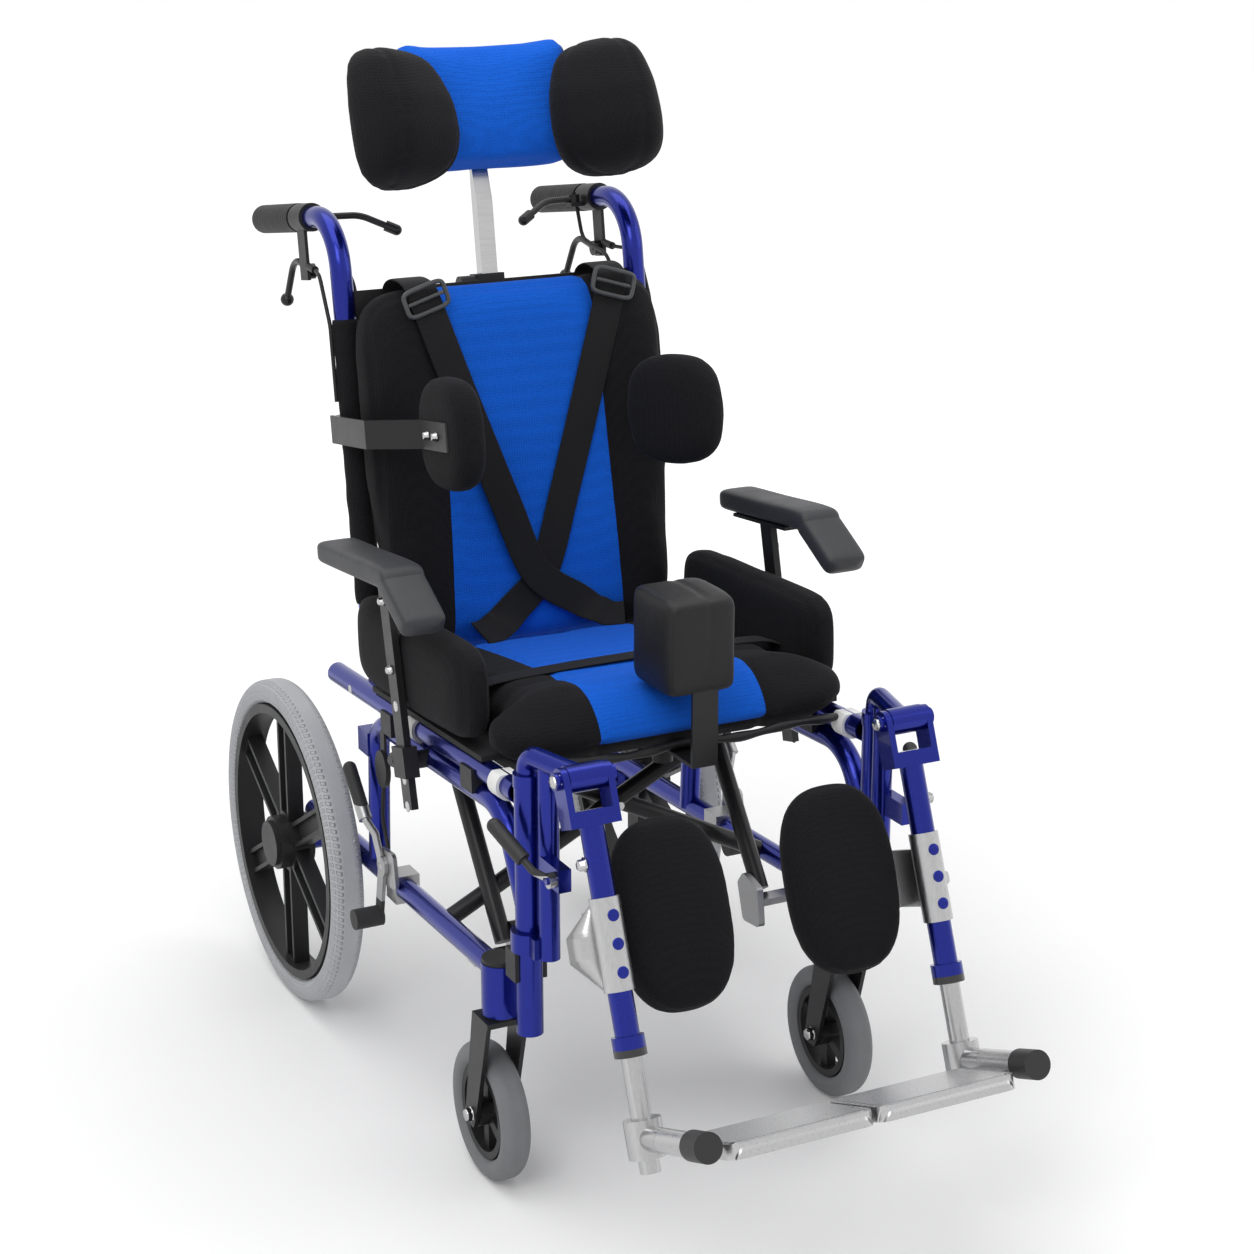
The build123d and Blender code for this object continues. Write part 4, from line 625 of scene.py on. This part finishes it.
class WHEELCHAIR_OT_finishes(Operator):
    """Give every hard piece its finish"""
    bl_idname = "wheelchair.finishes"
    bl_label = "Finish the hard pieces"

    def execute(self, context):
        colours = context.scene.wheelchair_colours
        paint = tuple(colours.paint)
        dress(metallic_paint("frame lacquer", paint), *both("side_frame"), "seat_rails", *both("hanger"))
        dress(metallic_paint("cane lacquer", paint), "back_canes")
        collar = lambda f: f.local(LEG)[2] < -0.2665
        dress(metallic_paint("leg lacquer", paint, collar), *both("leg_tube"))
        dress(satin("black coat", (0.012, 0.012, 0.013), 0.36), "cross_brace", *both("caster_fork"),
              "lateral_brackets", "pommel_bracket", *both("arm_bar"))
        dress(satin("black lever", (0.013, 0.013, 0.014), 0.3), *both("brake_lever"),
              *both("recline_lever"))
        top = float(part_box("left_leg_lever")[1][2]) - 0.046
        dress(metal("lever rod", 0.46, 0.24, dark=lambda f: f.axes[2] > top), *both("leg_lever"))
        dress(satin("moulded black", (0.014, 0.014, 0.015), 0.45, 520.0, 0.0003),
              *both("wheel"), *both("caster_hub"), "frame_fittings", "back_fittings")
        dress(satin("black cable", (0.01, 0.01, 0.011), 0.5), "lock_cables", "control_cables")
        dress(satin("white nylon", (0.78, 0.78, 0.76), 0.45), "rail_rings")
        dress(satin("padded board", (0.014, 0.014, 0.015), 0.7), "seat_board")
        dress(metal("zinc plate", 0.40, 0.36), "steel_plates")
        dress(metal("bright bolts", 0.50, 0.24), "frame_bolts")
        dress(metal("drawn steel", 0.52, 0.20, (0.05, 1.0, 1.0)), "headrest_post")
        dress(metal("sleeve metal", 0.48, 0.3, (1.0, 1.0, 0.06)), *both("calf_sleeve"))
        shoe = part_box("left_lock_lever")[0][2] + 0.034
        grip = lambda f: (f.axes[2] > 0.33) + (f.axes[2] < float(shoe))
        dress(metal("lock metal", 0.40, 0.34, dark=grip), *both("lock_lever"))
        knob = lambda f: f.local(LEG)[1] < -0.107
        dress(metal("foot tube metal", 0.46, 0.22, (1.0, 1.0, 0.06), dark=knob), *both("foot_tube"))
        ribs = lambda f: f.ramp(f.math("SINE", f.axes[1] * 620.0), -0.2, 0.6) * (abs(f.axes[0]) < 0.156)
        dress(metal("ribbed alloy", 0.50, 0.3, ribs=ribs), *both("footplate"))
        dress(ribbed_rubber("grip rubber", 1, 0.006), "push_grips")
        tyre = tuple(colours.tyre)
        dress(tyre_rubber("wheel tyre", tyre, WHEEL_HUB, 150, 1.0), *both("tyre"))
        dress(tyre_rubber("caster tyre", scaled(tyre, 0.42), CASTER_HUB, 4, 0.0), *both("caster_tyre"))
        return {"FINISHED"}


class WHEELCHAIR_OT_seat(Operator):
    """Make the seat cushion"""
    bl_idname = "wheelchair.seat"
    bl_label = "Seat cushion"

    def execute(self, context):
        colours, soft = context.scene.wheelchair_colours, context.scene.wheelchair_soft
        panel = lambda f: (abs(f.axes[0]) < SEAT_PANEL) * (f.local(SEAT)[2] > 0.024)
        cover = fabric("seat cover", tuple(colours.black), tuple(colours.blue), panel)
        p = pad(0.183, 0.190, 2.0, 9.0, 0.22)
        y = p[..., 1] - 0.025
        wide = np.interp(y, [-0.216, -0.195, -0.162, -0.148, 0.14], [1.12, 1.18, 1.18, 1.0, 1.0])
        high = np.interp(
            y, [-0.216, -0.205, -0.180, -0.150, -0.12, 0.0, 0.14, 0.16],
            [0.030, 0.040, 0.048, 0.050, 0.046, 0.039, 0.027, 0.022])
        low = np.interp(y, [-0.216, -0.168, -0.155], [0.012, 0.015, 0.0186])
        z = low + 0.5 * (p[..., 2] + 1.0) * high
        rings = place(np.stack([p[..., 0] * wide, y, z], -1), SEAT)
        made = piece("seat_cushion_cover", [solid(rings)], cover, "frame",
                     ("seat_cushion",))
        inflate(made, soft.big_swell * 0.45)
        lines = lambda q: np.abs(np.abs(q[:, 0]) - SEAT_PANEL)
        stitch(made, lines, soft.seam, 0.004)
        fold = lambda q: np.abs(unplace(q, SEAT)[1] + 0.085 + 0.25 * np.abs(q[:, 0]) ** 1.3)
        stitch(made, fold, soft.seam, 0.010)
        rim = lambda q: np.abs(unplace(q, SEAT)[2] - 0.024)
        stitch(made, rim, soft.seam, 0.0035)
        refine(made)
        return {"FINISHED"}


class WHEELCHAIR_OT_back(Operator):
    """Make the back cushion and the sleeves round the push tubes"""
    bl_idname = "wheelchair.back"
    bl_label = "Back cushion"

    def execute(self, context):
        colours, soft = context.scene.wheelchair_colours, context.scene.wheelchair_soft
        edge = lambda z: 0.108 - 0.035 * (z - 0.06)

        def panel(f):
            """Share of the blue panel, narrower towards the top."""
            x, y, z = f.local(BACK)
            return (abs(x) < (z - 0.06) * -0.035 + 0.108) * (y < -0.03)

        cover = fabric("back cover", tuple(colours.black), tuple(colours.blue), panel)
        p = pad(0.194, 0.217, 0.052, 8.0, 0.20)
        x, z, c = p[..., 0], p[..., 1] + 0.243, p[..., 2]
        narrow = np.interp(z, [0.05, 0.15, 0.21], [0.95, 0.955, 1.0])
        bolster = 0.008 * np.clip((np.abs(x) - 0.105) / 0.03, 0, 1) * (c > 0)
        y = -0.038 - c - bolster
        rings = place(np.stack([x * narrow, y, z], -1), BACK)
        made = piece("back_cushion_cover", [solid(rings)], cover, "back", ("back_cushion",))
        inflate(made, soft.big_swell * 0.3)

        def lines(q):
            """Distance from the edges of the blue panel."""
            x, y, z = unplace(q, BACK)
            return np.abs(np.abs(x) - edge(z)) + 0.05 * (y > -0.03)

        stitch(made, lines, soft.seam, 0.004)

        def inset(q):
            """Distance from the seam inside the rim."""
            x, y, z = unplace(q, BACK)
            return np.abs(round_box(x, z - 0.243, 0.181, 0.204, 0.040)) + 0.05 * (y > -0.03)

        stitch(made, inset, soft.seam, 0.0032)
        refine(made)
        sleeves = []
        for sign in WAYS:
            t = np.linspace(0.0, 1.0, 60)
            path = np.stack([0.185 * sign + 0 * t, 0 * t, 0.098 + 0.326 * t], -1)
            radius = 0.0152 + 0.0006 * np.sin(46.0 * t) * np.sin(13.0 * t) - 0.001 * (np.abs(t - 0.5) > 0.485)
            sleeves.append(solid(place(tube(path, radius, 32), BACK)))
        cloth = fabric("sleeve cloth", tuple(colours.black))
        piece("cane_sleeves", sleeves, cloth, "back")
        return {"FINISHED"}


class WHEELCHAIR_OT_headrest(Operator):
    """Make the headrest pad and its two wings"""
    bl_idname = "wheelchair.headrest"
    bl_label = "Headrest"

    def execute(self, context):
        colours, soft = context.scene.wheelchair_colours, context.scene.wheelchair_soft
        blue = lambda f: abs(f.axes[0]) < HEAD_PANEL
        cover = fabric("headrest centre", tuple(colours.black), tuple(colours.blue), blue)
        p = pad(0.108, 0.071, 0.060, 12.0, 0.10)
        x, z, c = p[..., 0], p[..., 1] + 0.005, p[..., 2]
        y = 0.030 - c - 1.3 * x ** 2
        rings = place(np.stack([x, y, z], -1), HEAD)
        made = piece("headrest_centre", [solid(rings)], cover, "headrest", ("headrest_pad",))
        inflate(made, soft.swell * 0.5)
        ends = lambda q: np.abs(np.abs(q[:, 0]) - HEAD_PANEL)
        stitch(made, ends, soft.seam, 0.0030)
        refine(made)
        wings = []
        turn = math.radians(WING_TURN)
        for sign in WAYS:
            h = np.cos(np.linspace(0.02, np.pi - 0.02, 60))
            wide, deep = wing_share(h)
            u = np.linspace(0.0, 2.0 * np.pi, 96, endpoint=False)
            a = WING_HALF_W * wide[:, None] * bend(np.cos(u), 0.62)
            c = WING_HALF_D * (deep[:, None] * (bend(np.sin(u), 0.62) + 1.0) - 1.0)
            x = sign * (WING_X + a * math.cos(turn) + c * math.sin(turn))
            y = WING_Y + a * math.sin(turn) - c * math.cos(turn)
            z = WING_Z + WING_HALF_H * h[:, None] + 0.0 * a
            wings.append(solid(place(np.stack([x, y, z], -1), HEAD)))
        black = fabric("wing cover", tuple(colours.black))
        made = piece("headrest_wing_covers", wings, black, "headrest", ("headrest_wings",))
        inflate(made, soft.swell * 0.7)

        def edges(q):
            """Distance from the seams beside the wing's front."""
            x, y, z = unplace(q, HEAD)
            across = (np.abs(x) - WING_X) * math.cos(turn) + (y - WING_Y) * math.sin(turn)
            wide = wing_share((z - WING_Z) / WING_HALF_H)[0]
            return np.abs(np.abs(across) - 0.72 * WING_HALF_W * wide)

        stitch(made, edges, soft.seam, 0.0024)
        refine(made)
        return {"FINISHED"}


class WHEELCHAIR_OT_pads(Operator):
    """Make the trunk pads, hip cushions, calf pads, arm pads and pommel"""
    bl_idname = "wheelchair.pads"
    bl_label = "Pads"

    def execute(self, context):
        colours, soft = context.scene.wheelchair_colours, context.scene.wheelchair_soft
        black = fabric("pad cover", tuple(colours.black))
        trunk = []
        for sign in WAYS:
            p = pad(0.063, 0.063, 0.040, 2.8, 0.42)
            turn, middle = (math.radians(26.0), 0.132) if sign > 0 else (0.0, 0.142)
            ca, sa = math.cos(turn), math.sin(turn)
            x = sign * (middle + p[..., 2] * ca - p[..., 0] * sa)
            y = p[..., 2] * sa + p[..., 0] * ca - 0.187
            trunk.append(solid(place(np.stack([x, y, p[..., 1] + 0.300], -1), BACK)))
        made = piece("trunk_pad_covers", trunk, black, "back", ("lateral_pads",))
        inflate(made, soft.swell * 0.6)
        refine(made)

        p = pad(0.163, 0.055, 0.040, 5.0, 0.30)
        rings = place(np.stack([HIP_X + p[..., 2], p[..., 0] + 0.013, p[..., 1] + 0.0763], -1), SEAT)
        made = piece("left_hip_cover", [solid(rings)], black, "left_armrest",
                     ("left_hip_cushion",))
        inflate(made, soft.swell * 0.35)
        rim = lambda q: np.abs(np.abs(q[:, 0] - HIP_X) - 0.014)
        stitch(made, rim, soft.seam * 0.6, 0.002)
        other = mirrored(made, "right_hip_cover", "right_armrest", "right_hip_cushion")
        for each in (made, other):
            refine(each)

        p = pad(0.064, 0.099, 0.044, 2.7, 0.40)
        rings = np.stack([p[..., 0] - 0.086, 0.035 - p[..., 2], p[..., 1] - 0.150], -1)
        made = piece("left_calf_cover", [solid(place(rings, side_leg(1.0)))], black, "left_calf",
                     ("left_calf_pad",))
        inflate(made, soft.swell * 0.5)
        rim = lambda q: np.abs(unplace(q, side_leg(1.0))[1] - 0.026)
        stitch(made, rim, soft.seam * 0.7, 0.002)
        other = mirrored(made, "right_calf_cover", "right_calf", "right_calf_pad")
        for each in (made, other):
            refine(each)

        moulded = grained("arm pad skin", tuple(colours.moulded), 0.48)
        for side, sign in SIDES:
            line = smooth_path(
                [(0.166, 0.630), (0.08, 0.638), (-0.0165, 0.6475), (-0.034, 0.6405), (-0.093, 0.609)], 90)
            along = np.gradient(line, axis=0)
            along /= np.linalg.norm(along, axis=1)[:, None]
            t = np.linspace(-1.0, 1.0, 90)
            shrink = np.clip(1.0 - np.abs(t) ** 40, 0.02, 1.0) ** 0.4
            u = np.linspace(0.0, 2.0 * np.pi, 48, endpoint=False)
            wide = 0.0245 * bend(np.cos(u), 0.42)[None] * shrink[:, None] ** 0.5
            tall = 0.0125 * bend(np.sin(u), 0.42)[None] * shrink[:, None]
            x = 0.253 * sign + wide
            y = line[:, :1] - along[:, 1:] * tall
            z = line[:, 1:] + along[:, :1] * tall
            made = piece(f"{side}_arm_pad_skin", [solid(np.stack([x, y, z], -1))], moulded,
                         f"{side}_armrest", (f"{side}_arm_pad",))

        leather = grained("pommel skin", tuple(colours.leather), 0.45, 420.0)
        p = pad(0.040, 0.0525, 0.094, 13.0, 0.12)
        rings = np.stack([p[..., 0] - 0.003, p[..., 2] - 0.1874, p[..., 1] + 0.5925], -1)
        made = piece("pommel_skin", [solid(rings)], leather, "pommel", ("pommel_pad",))
        inflate(made, soft.swell * 0.15, 2.0, 0.004, 4)
        stitch(made, lambda q: np.abs(q[:, 0] - 0.004), soft.seam * 0.7, 0.0022)
        refine(made)
        return {"FINISHED"}


class WHEELCHAIR_OT_straps(Operator):
    """Make the shoulder straps, their buckles and the lap strap"""
    bl_idname = "wheelchair.straps"
    bl_label = "Straps"

    def execute(self, context):
        colours, soft = context.scene.wheelchair_colours, context.scene.wheelchair_soft
        web = woven("webbing", tuple(colours.webbing))
        for number, (side, sign) in enumerate(SIDES):
            lift = -0.0745 - 0.0035 * number
            end = -0.036 if sign > 0 else -0.046
            route = [
                (0.121, -0.006, 0.430), (0.121, -0.009, 0.456), (0.121, -0.035, 0.4655),
                (0.119, -0.066, 0.4575), (0.115, lift, 0.435), (0.086, lift, 0.345),
                (0.038, lift, 0.205), (0.006, lift, 0.120), (end, lift - 0.002, 0.080),
                (end - 0.026, lift - 0.010, 0.064), (end - 0.050, lift - 0.016, 0.058),
            ]
            path = smooth_path([(x * sign, y, z) for x, y, z in route], 110)
            step = np.gradient(path, axis=0)
            face = np.stack([0.0 * step[:, 0], step[:, 2], -step[:, 1]], -1)
            rings = place(ribbon(path, face, soft.strap, soft.band), BACK)
            made = piece(f"{side}_shoulder_strap", [solid(rings)], web, "back",
                         ("shoulder_straps",))
        buckle = satin("buckle", (0.06, 0.062, 0.066), 0.3)
        rails = []
        for sign in WAYS:
            u = np.linspace(0.0, 2.0 * np.pi, 64, endpoint=False)
            centre = np.array([0.117 * sign, -0.081, 0.4425])
            tip = np.array([0.30 * sign, 0.0, 1.0]) / math.hypot(1.0, 0.30)
            across = np.cross(tip, (0.0, 1.0, 0.0))
            loop = (centre + 0.0255 * bend(np.cos(u), 0.35)[:, None] * across
                    + 0.0145 * bend(np.sin(u), 0.35)[:, None] * tip)
            rails.append(solid(place(tube(loop, 0.0027, 12, True), BACK), True))
            bar = centre + np.linspace(-0.023, 0.023, 12)[:, None] * across
            rails.append(solid(place(tube(bar, 0.0022, 12), BACK)))
        piece("strap_buckles", rails, buckle, "back")
        half = [(0.08, -0.068, 0.0735), (0.160, -0.070, 0.071), (0.186, -0.070, 0.064)]
        other = [(-x, y, z) for x, y, z in reversed(half)]
        path = smooth_path([*other, (0.0, -0.066, 0.0735), *half], 80)
        rings = place(ribbon(path, (0.0, 0.0, 1.0), 0.026, soft.band), SEAT)
        made = piece("lap_strap", [solid(rings)], web, "frame")
        return {"FINISHED"}


class WHEELCHAIR_OT_trim(Operator):
    """Add bolt heads, clamp ears, tube windows and the seat's lower welt"""
    bl_idname = "wheelchair.trim"
    bl_label = "Small trim"

    def execute(self, context):
        colours = context.scene.wheelchair_colours
        bright = metal("bright heads", 0.5, 0.22)
        dark = satin("dark heads", (0.010, 0.010, 0.011), 0.4)
        ear_metal = metal("ear metal", 0.46, 0.32)
        window = metallic_paint("window lacquer", tuple(colours.paint))
        head = ((0.0, 0.0085), (0.0015, 0.0095), (0.003, 0.0072), (0.0075, 0.0068), (0.0085, 0.0055))
        small = tuple((d * 0.75, r * 0.6) for d, r in head)
        lower = tuple((d, r * 0.85) for d, r in head)
        disc = ((0.0, 0.0062), (0.0006, 0.0060), (0.0009, 0.0052))
        for side, sign in SIDES:
            at = side_leg(sign)
            spots = [((-0.0262, 0.0, 0.0), head), ((sign * 0.0118, 0.004, -0.084), lower)]
            heads = [solid(place(turned(c, (1.0 if c[0] > 0 else -1.0, 0, 0), prof, 24, True), at))
                     for c, prof in spots]
            piece(f"{side}_leg_bolts", heads, bright, f"{side}_leg")
            holes = [solid(place(turned((0.0, -0.0152, z), (0, -1, 0), disc), at))
                     for z in (-0.136, -0.164, -0.192)]
            piece(f"{side}_sleeve_windows", holes, window, f"{side}_calf")
            t = np.linspace(0.0, 1.0, 24)
            reach = 0.016 + 0.030 * np.minimum(1.0, np.minimum(t / 0.35, (1.0 - t) / 0.35))
            z = -0.124 - 0.084 * t
            d, w = np.array([sign, 1.0]) / math.sqrt(2), np.array([-1.0, sign]) / math.sqrt(2)
            ring = [[(*(d * a + w * b), h) for a, b in
                     ((0.012, -0.0015), (r, -0.0015), (r, 0.0015), (0.012, 0.0015))]
                    for r, h in zip(reach, z)]
            ear = [solid(place(np.array(ring), at))]
            spot = np.array([*(d * 0.034 - w * 0.0015), -0.170])
            ear.append(solid(place(turned(spot, (-w[0], -w[1], 0.0), head, 24, True), at)))
            piece(f"{side}_sleeve_ear", ear, ear_metal, f"{side}_calf")
            heads = [solid(turned((0.212 * sign + 0.0225 * way, *CASTER_HUB), (way, 0, 0), head, 24, True))
                     for way in (-1.0, 1.0)]
            piece(f"{side}_axle_heads", heads, bright, f"{side}_fork")
            arm = ((0.238 * sign, 0.05709, 0.618), 14.0)
            heads = [solid(place(turned((sign * 0.0038, 0.0, h), (sign, 0, 0), small, 24, True), arm))
                     for h in (-0.020, -0.095)]
            heads += [solid(place(turned((sign * 0.0038, 0.0, h), (sign, 0, 0), disc), arm))
                      for h in (-0.135, -0.215, -0.245)]
            piece(f"{side}_arm_heads", heads, bright, f"{side}_armrest")
        heads = [solid(place(turned((-0.1640, y, 0.300), (-1, 0, 0), small, 24, True), BACK))
                 for y in (-0.172, -0.196)]
        piece("bracket_heads", heads, bright, "back")
        t = np.linspace(-1.0, 1.0, 80)
        path = np.stack([0.190 * t, -0.204 + 0.010 * t ** 8, 0.010 + 0.002 * np.cos(9.0 * t)], -1)
        welt = [solid(place(tube(path, 0.0048 + 0.0008 * np.sin(23.0 * t), 20), SEAT))]
        piece("seat_welt", welt, dark, "frame")
        return {"FINISHED"}


def surround(strength):
    """World of the given strength that shows as plain white to the camera and in shiny or clear pieces."""
    world = bpy.data.worlds.new("studio")
    world.use_nodes = True
    tree = world.node_tree
    back = tree.nodes["Background"]
    back.inputs["Color"].default_value = (1.0, 1.0, 1.0, 1.0)
    rays = tree.nodes.new("ShaderNodeLightPath").outputs
    level = tree.nodes.new("ShaderNodeMapRange")
    level.inputs["To Min"].default_value = strength
    level.inputs["To Max"].default_value = 1.0
    seen = rays["Is Camera Ray"]
    for other in (rays["Is Glossy Ray"], rays["Is Transmission Ray"]):
        either = tree.nodes.new("ShaderNodeMath")
        either.operation = "MAXIMUM"
        tree.links.new(seen, either.inputs[0])
        tree.links.new(other, either.inputs[1])
        seen = either.outputs[0]
    tree.links.new(seen, level.inputs["Value"])
    tree.links.new(level.outputs[0], back.inputs["Strength"])
    return world


def aimed(name, data, spot, target):
    """A lamp or camera at a spot, looking at a target."""
    made = bpy.data.objects.new(name, data)
    way = Vector(target) - Vector(spot)
    made.matrix_world = Matrix.Translation(spot) @ way.to_track_quat("-Z", "Y").to_matrix().to_4x4()
    bpy.context.scene.collection.objects.link(made)
    return made


class WHEELCHAIR_OT_stage(Operator):
    """Set up the pale floor, the lamps and the camera"""
    bl_idname = "wheelchair.stage"
    bl_label = "Studio"

    def execute(self, context):
        scene, values = context.scene, context.scene.wheelchair_stage
        scene.view_settings.view_transform = "Standard"
        mesh = bpy.data.meshes.new("floor")
        mesh.from_pydata([(-9, -9, 0), (9, -9, 0), (9, 9, 0), (-9, 9, 0)], [], [(0, 1, 2, 3)])
        floor = bpy.data.objects.new("floor", mesh)
        pale = Finish("pale floor", roughness=0.9, specular_ior_level=0.1, emission_strength=1.0)
        pale.put("Base Color", pale.mix(pale.noise(2.0), scaled(tuple(values.floor), 0.995),
                                        tuple(values.floor)))
        x, y = pale.axes[:2]
        far = pale.ramp(pale.math("SQRT", x * x + y * y), 0.5, 3.2)
        seen = pale.node("ShaderNodeLightPath") + pale.node("ShaderNodeLightPath", out="Is Glossy Ray")
        glow = (far * 0.48 + 0.05) * pale.math("MINIMUM", seen, 1.0)
        pale.put("Emission Color", pale.mix(glow, (0.0, 0.0, 0.0), (1.0, 1.0, 1.0)))
        mesh.materials.append(pale.material)
        scene.collection.objects.link(floor)
        scene.world = surround(values.sky)
        lamps = (("key", values.key, (-1.9, -1.9, 2.8), 1.5), ("fill", values.fill, (2.4, -1.2, 1.9), 1.8),
                 ("top", values.top, (-0.3, 0.2, 3.2), 3.0))
        for name, power, spot, size in lamps:
            light = bpy.data.lights.new(name, "AREA")
            light.energy = power
            light.size = size
            aimed(name, light, spot, (0.0, 0.0, 0.55))
        data = bpy.data.cameras.new("camera")
        data.lens = values.lens
        data.sensor_width = 36.0
        scene.camera = aimed("camera", data, CAMERA_SPOT, CAMERA_AIM)
        return {"FINISHED"}


class WHEELCHAIR_PT_panel(Panel):
    """Sidebar with the values and steps"""
    bl_label = "Wheelchair"
    bl_space_type = "VIEW_3D"
    bl_region_type = "UI"
    bl_category = "Wheelchair"

    def draw(self, context):
        for group in (context.scene.wheelchair_colours, context.scene.wheelchair_soft,
                      context.scene.wheelchair_stage):
            box = self.layout.box()
            for label in group.bl_rna.properties.keys():
                if label not in {"rna_type", "name"}:
                    box.prop(group, label)
        for step in STEPS:
            self.layout.operator(step.bl_idname)


STEPS = (WHEELCHAIR_OT_finishes, WHEELCHAIR_OT_seat, WHEELCHAIR_OT_back, WHEELCHAIR_OT_headrest,
         WHEELCHAIR_OT_pads, WHEELCHAIR_OT_straps, WHEELCHAIR_OT_trim, WHEELCHAIR_OT_stage)
GROUPS = (WheelchairColours, WheelchairSoft, WheelchairStage)


def register():
    for each in (*GROUPS, *STEPS, WHEELCHAIR_PT_panel):
        bpy.utils.register_class(each)
    bpy.types.Scene.wheelchair_colours = PointerProperty(type=WheelchairColours)
    bpy.types.Scene.wheelchair_soft = PointerProperty(type=WheelchairSoft)
    bpy.types.Scene.wheelchair_stage = PointerProperty(type=WheelchairStage)


def unregister():
    del bpy.types.Scene.wheelchair_stage
    del bpy.types.Scene.wheelchair_soft
    del bpy.types.Scene.wheelchair_colours
    for each in reversed((*GROUPS, *STEPS, WHEELCHAIR_PT_panel)):
        bpy.utils.unregister_class(each)


def main():
    """Dress the chair step by step."""
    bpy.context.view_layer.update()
    register()
    bpy.ops.wheelchair.finishes()
    bpy.ops.wheelchair.seat()
    bpy.ops.wheelchair.back()
    bpy.ops.wheelchair.headrest()
    bpy.ops.wheelchair.pads()
    bpy.ops.wheelchair.straps()
    bpy.ops.wheelchair.trim()
    bpy.ops.wheelchair.stage()


if __name__ == "__main__":
    main()
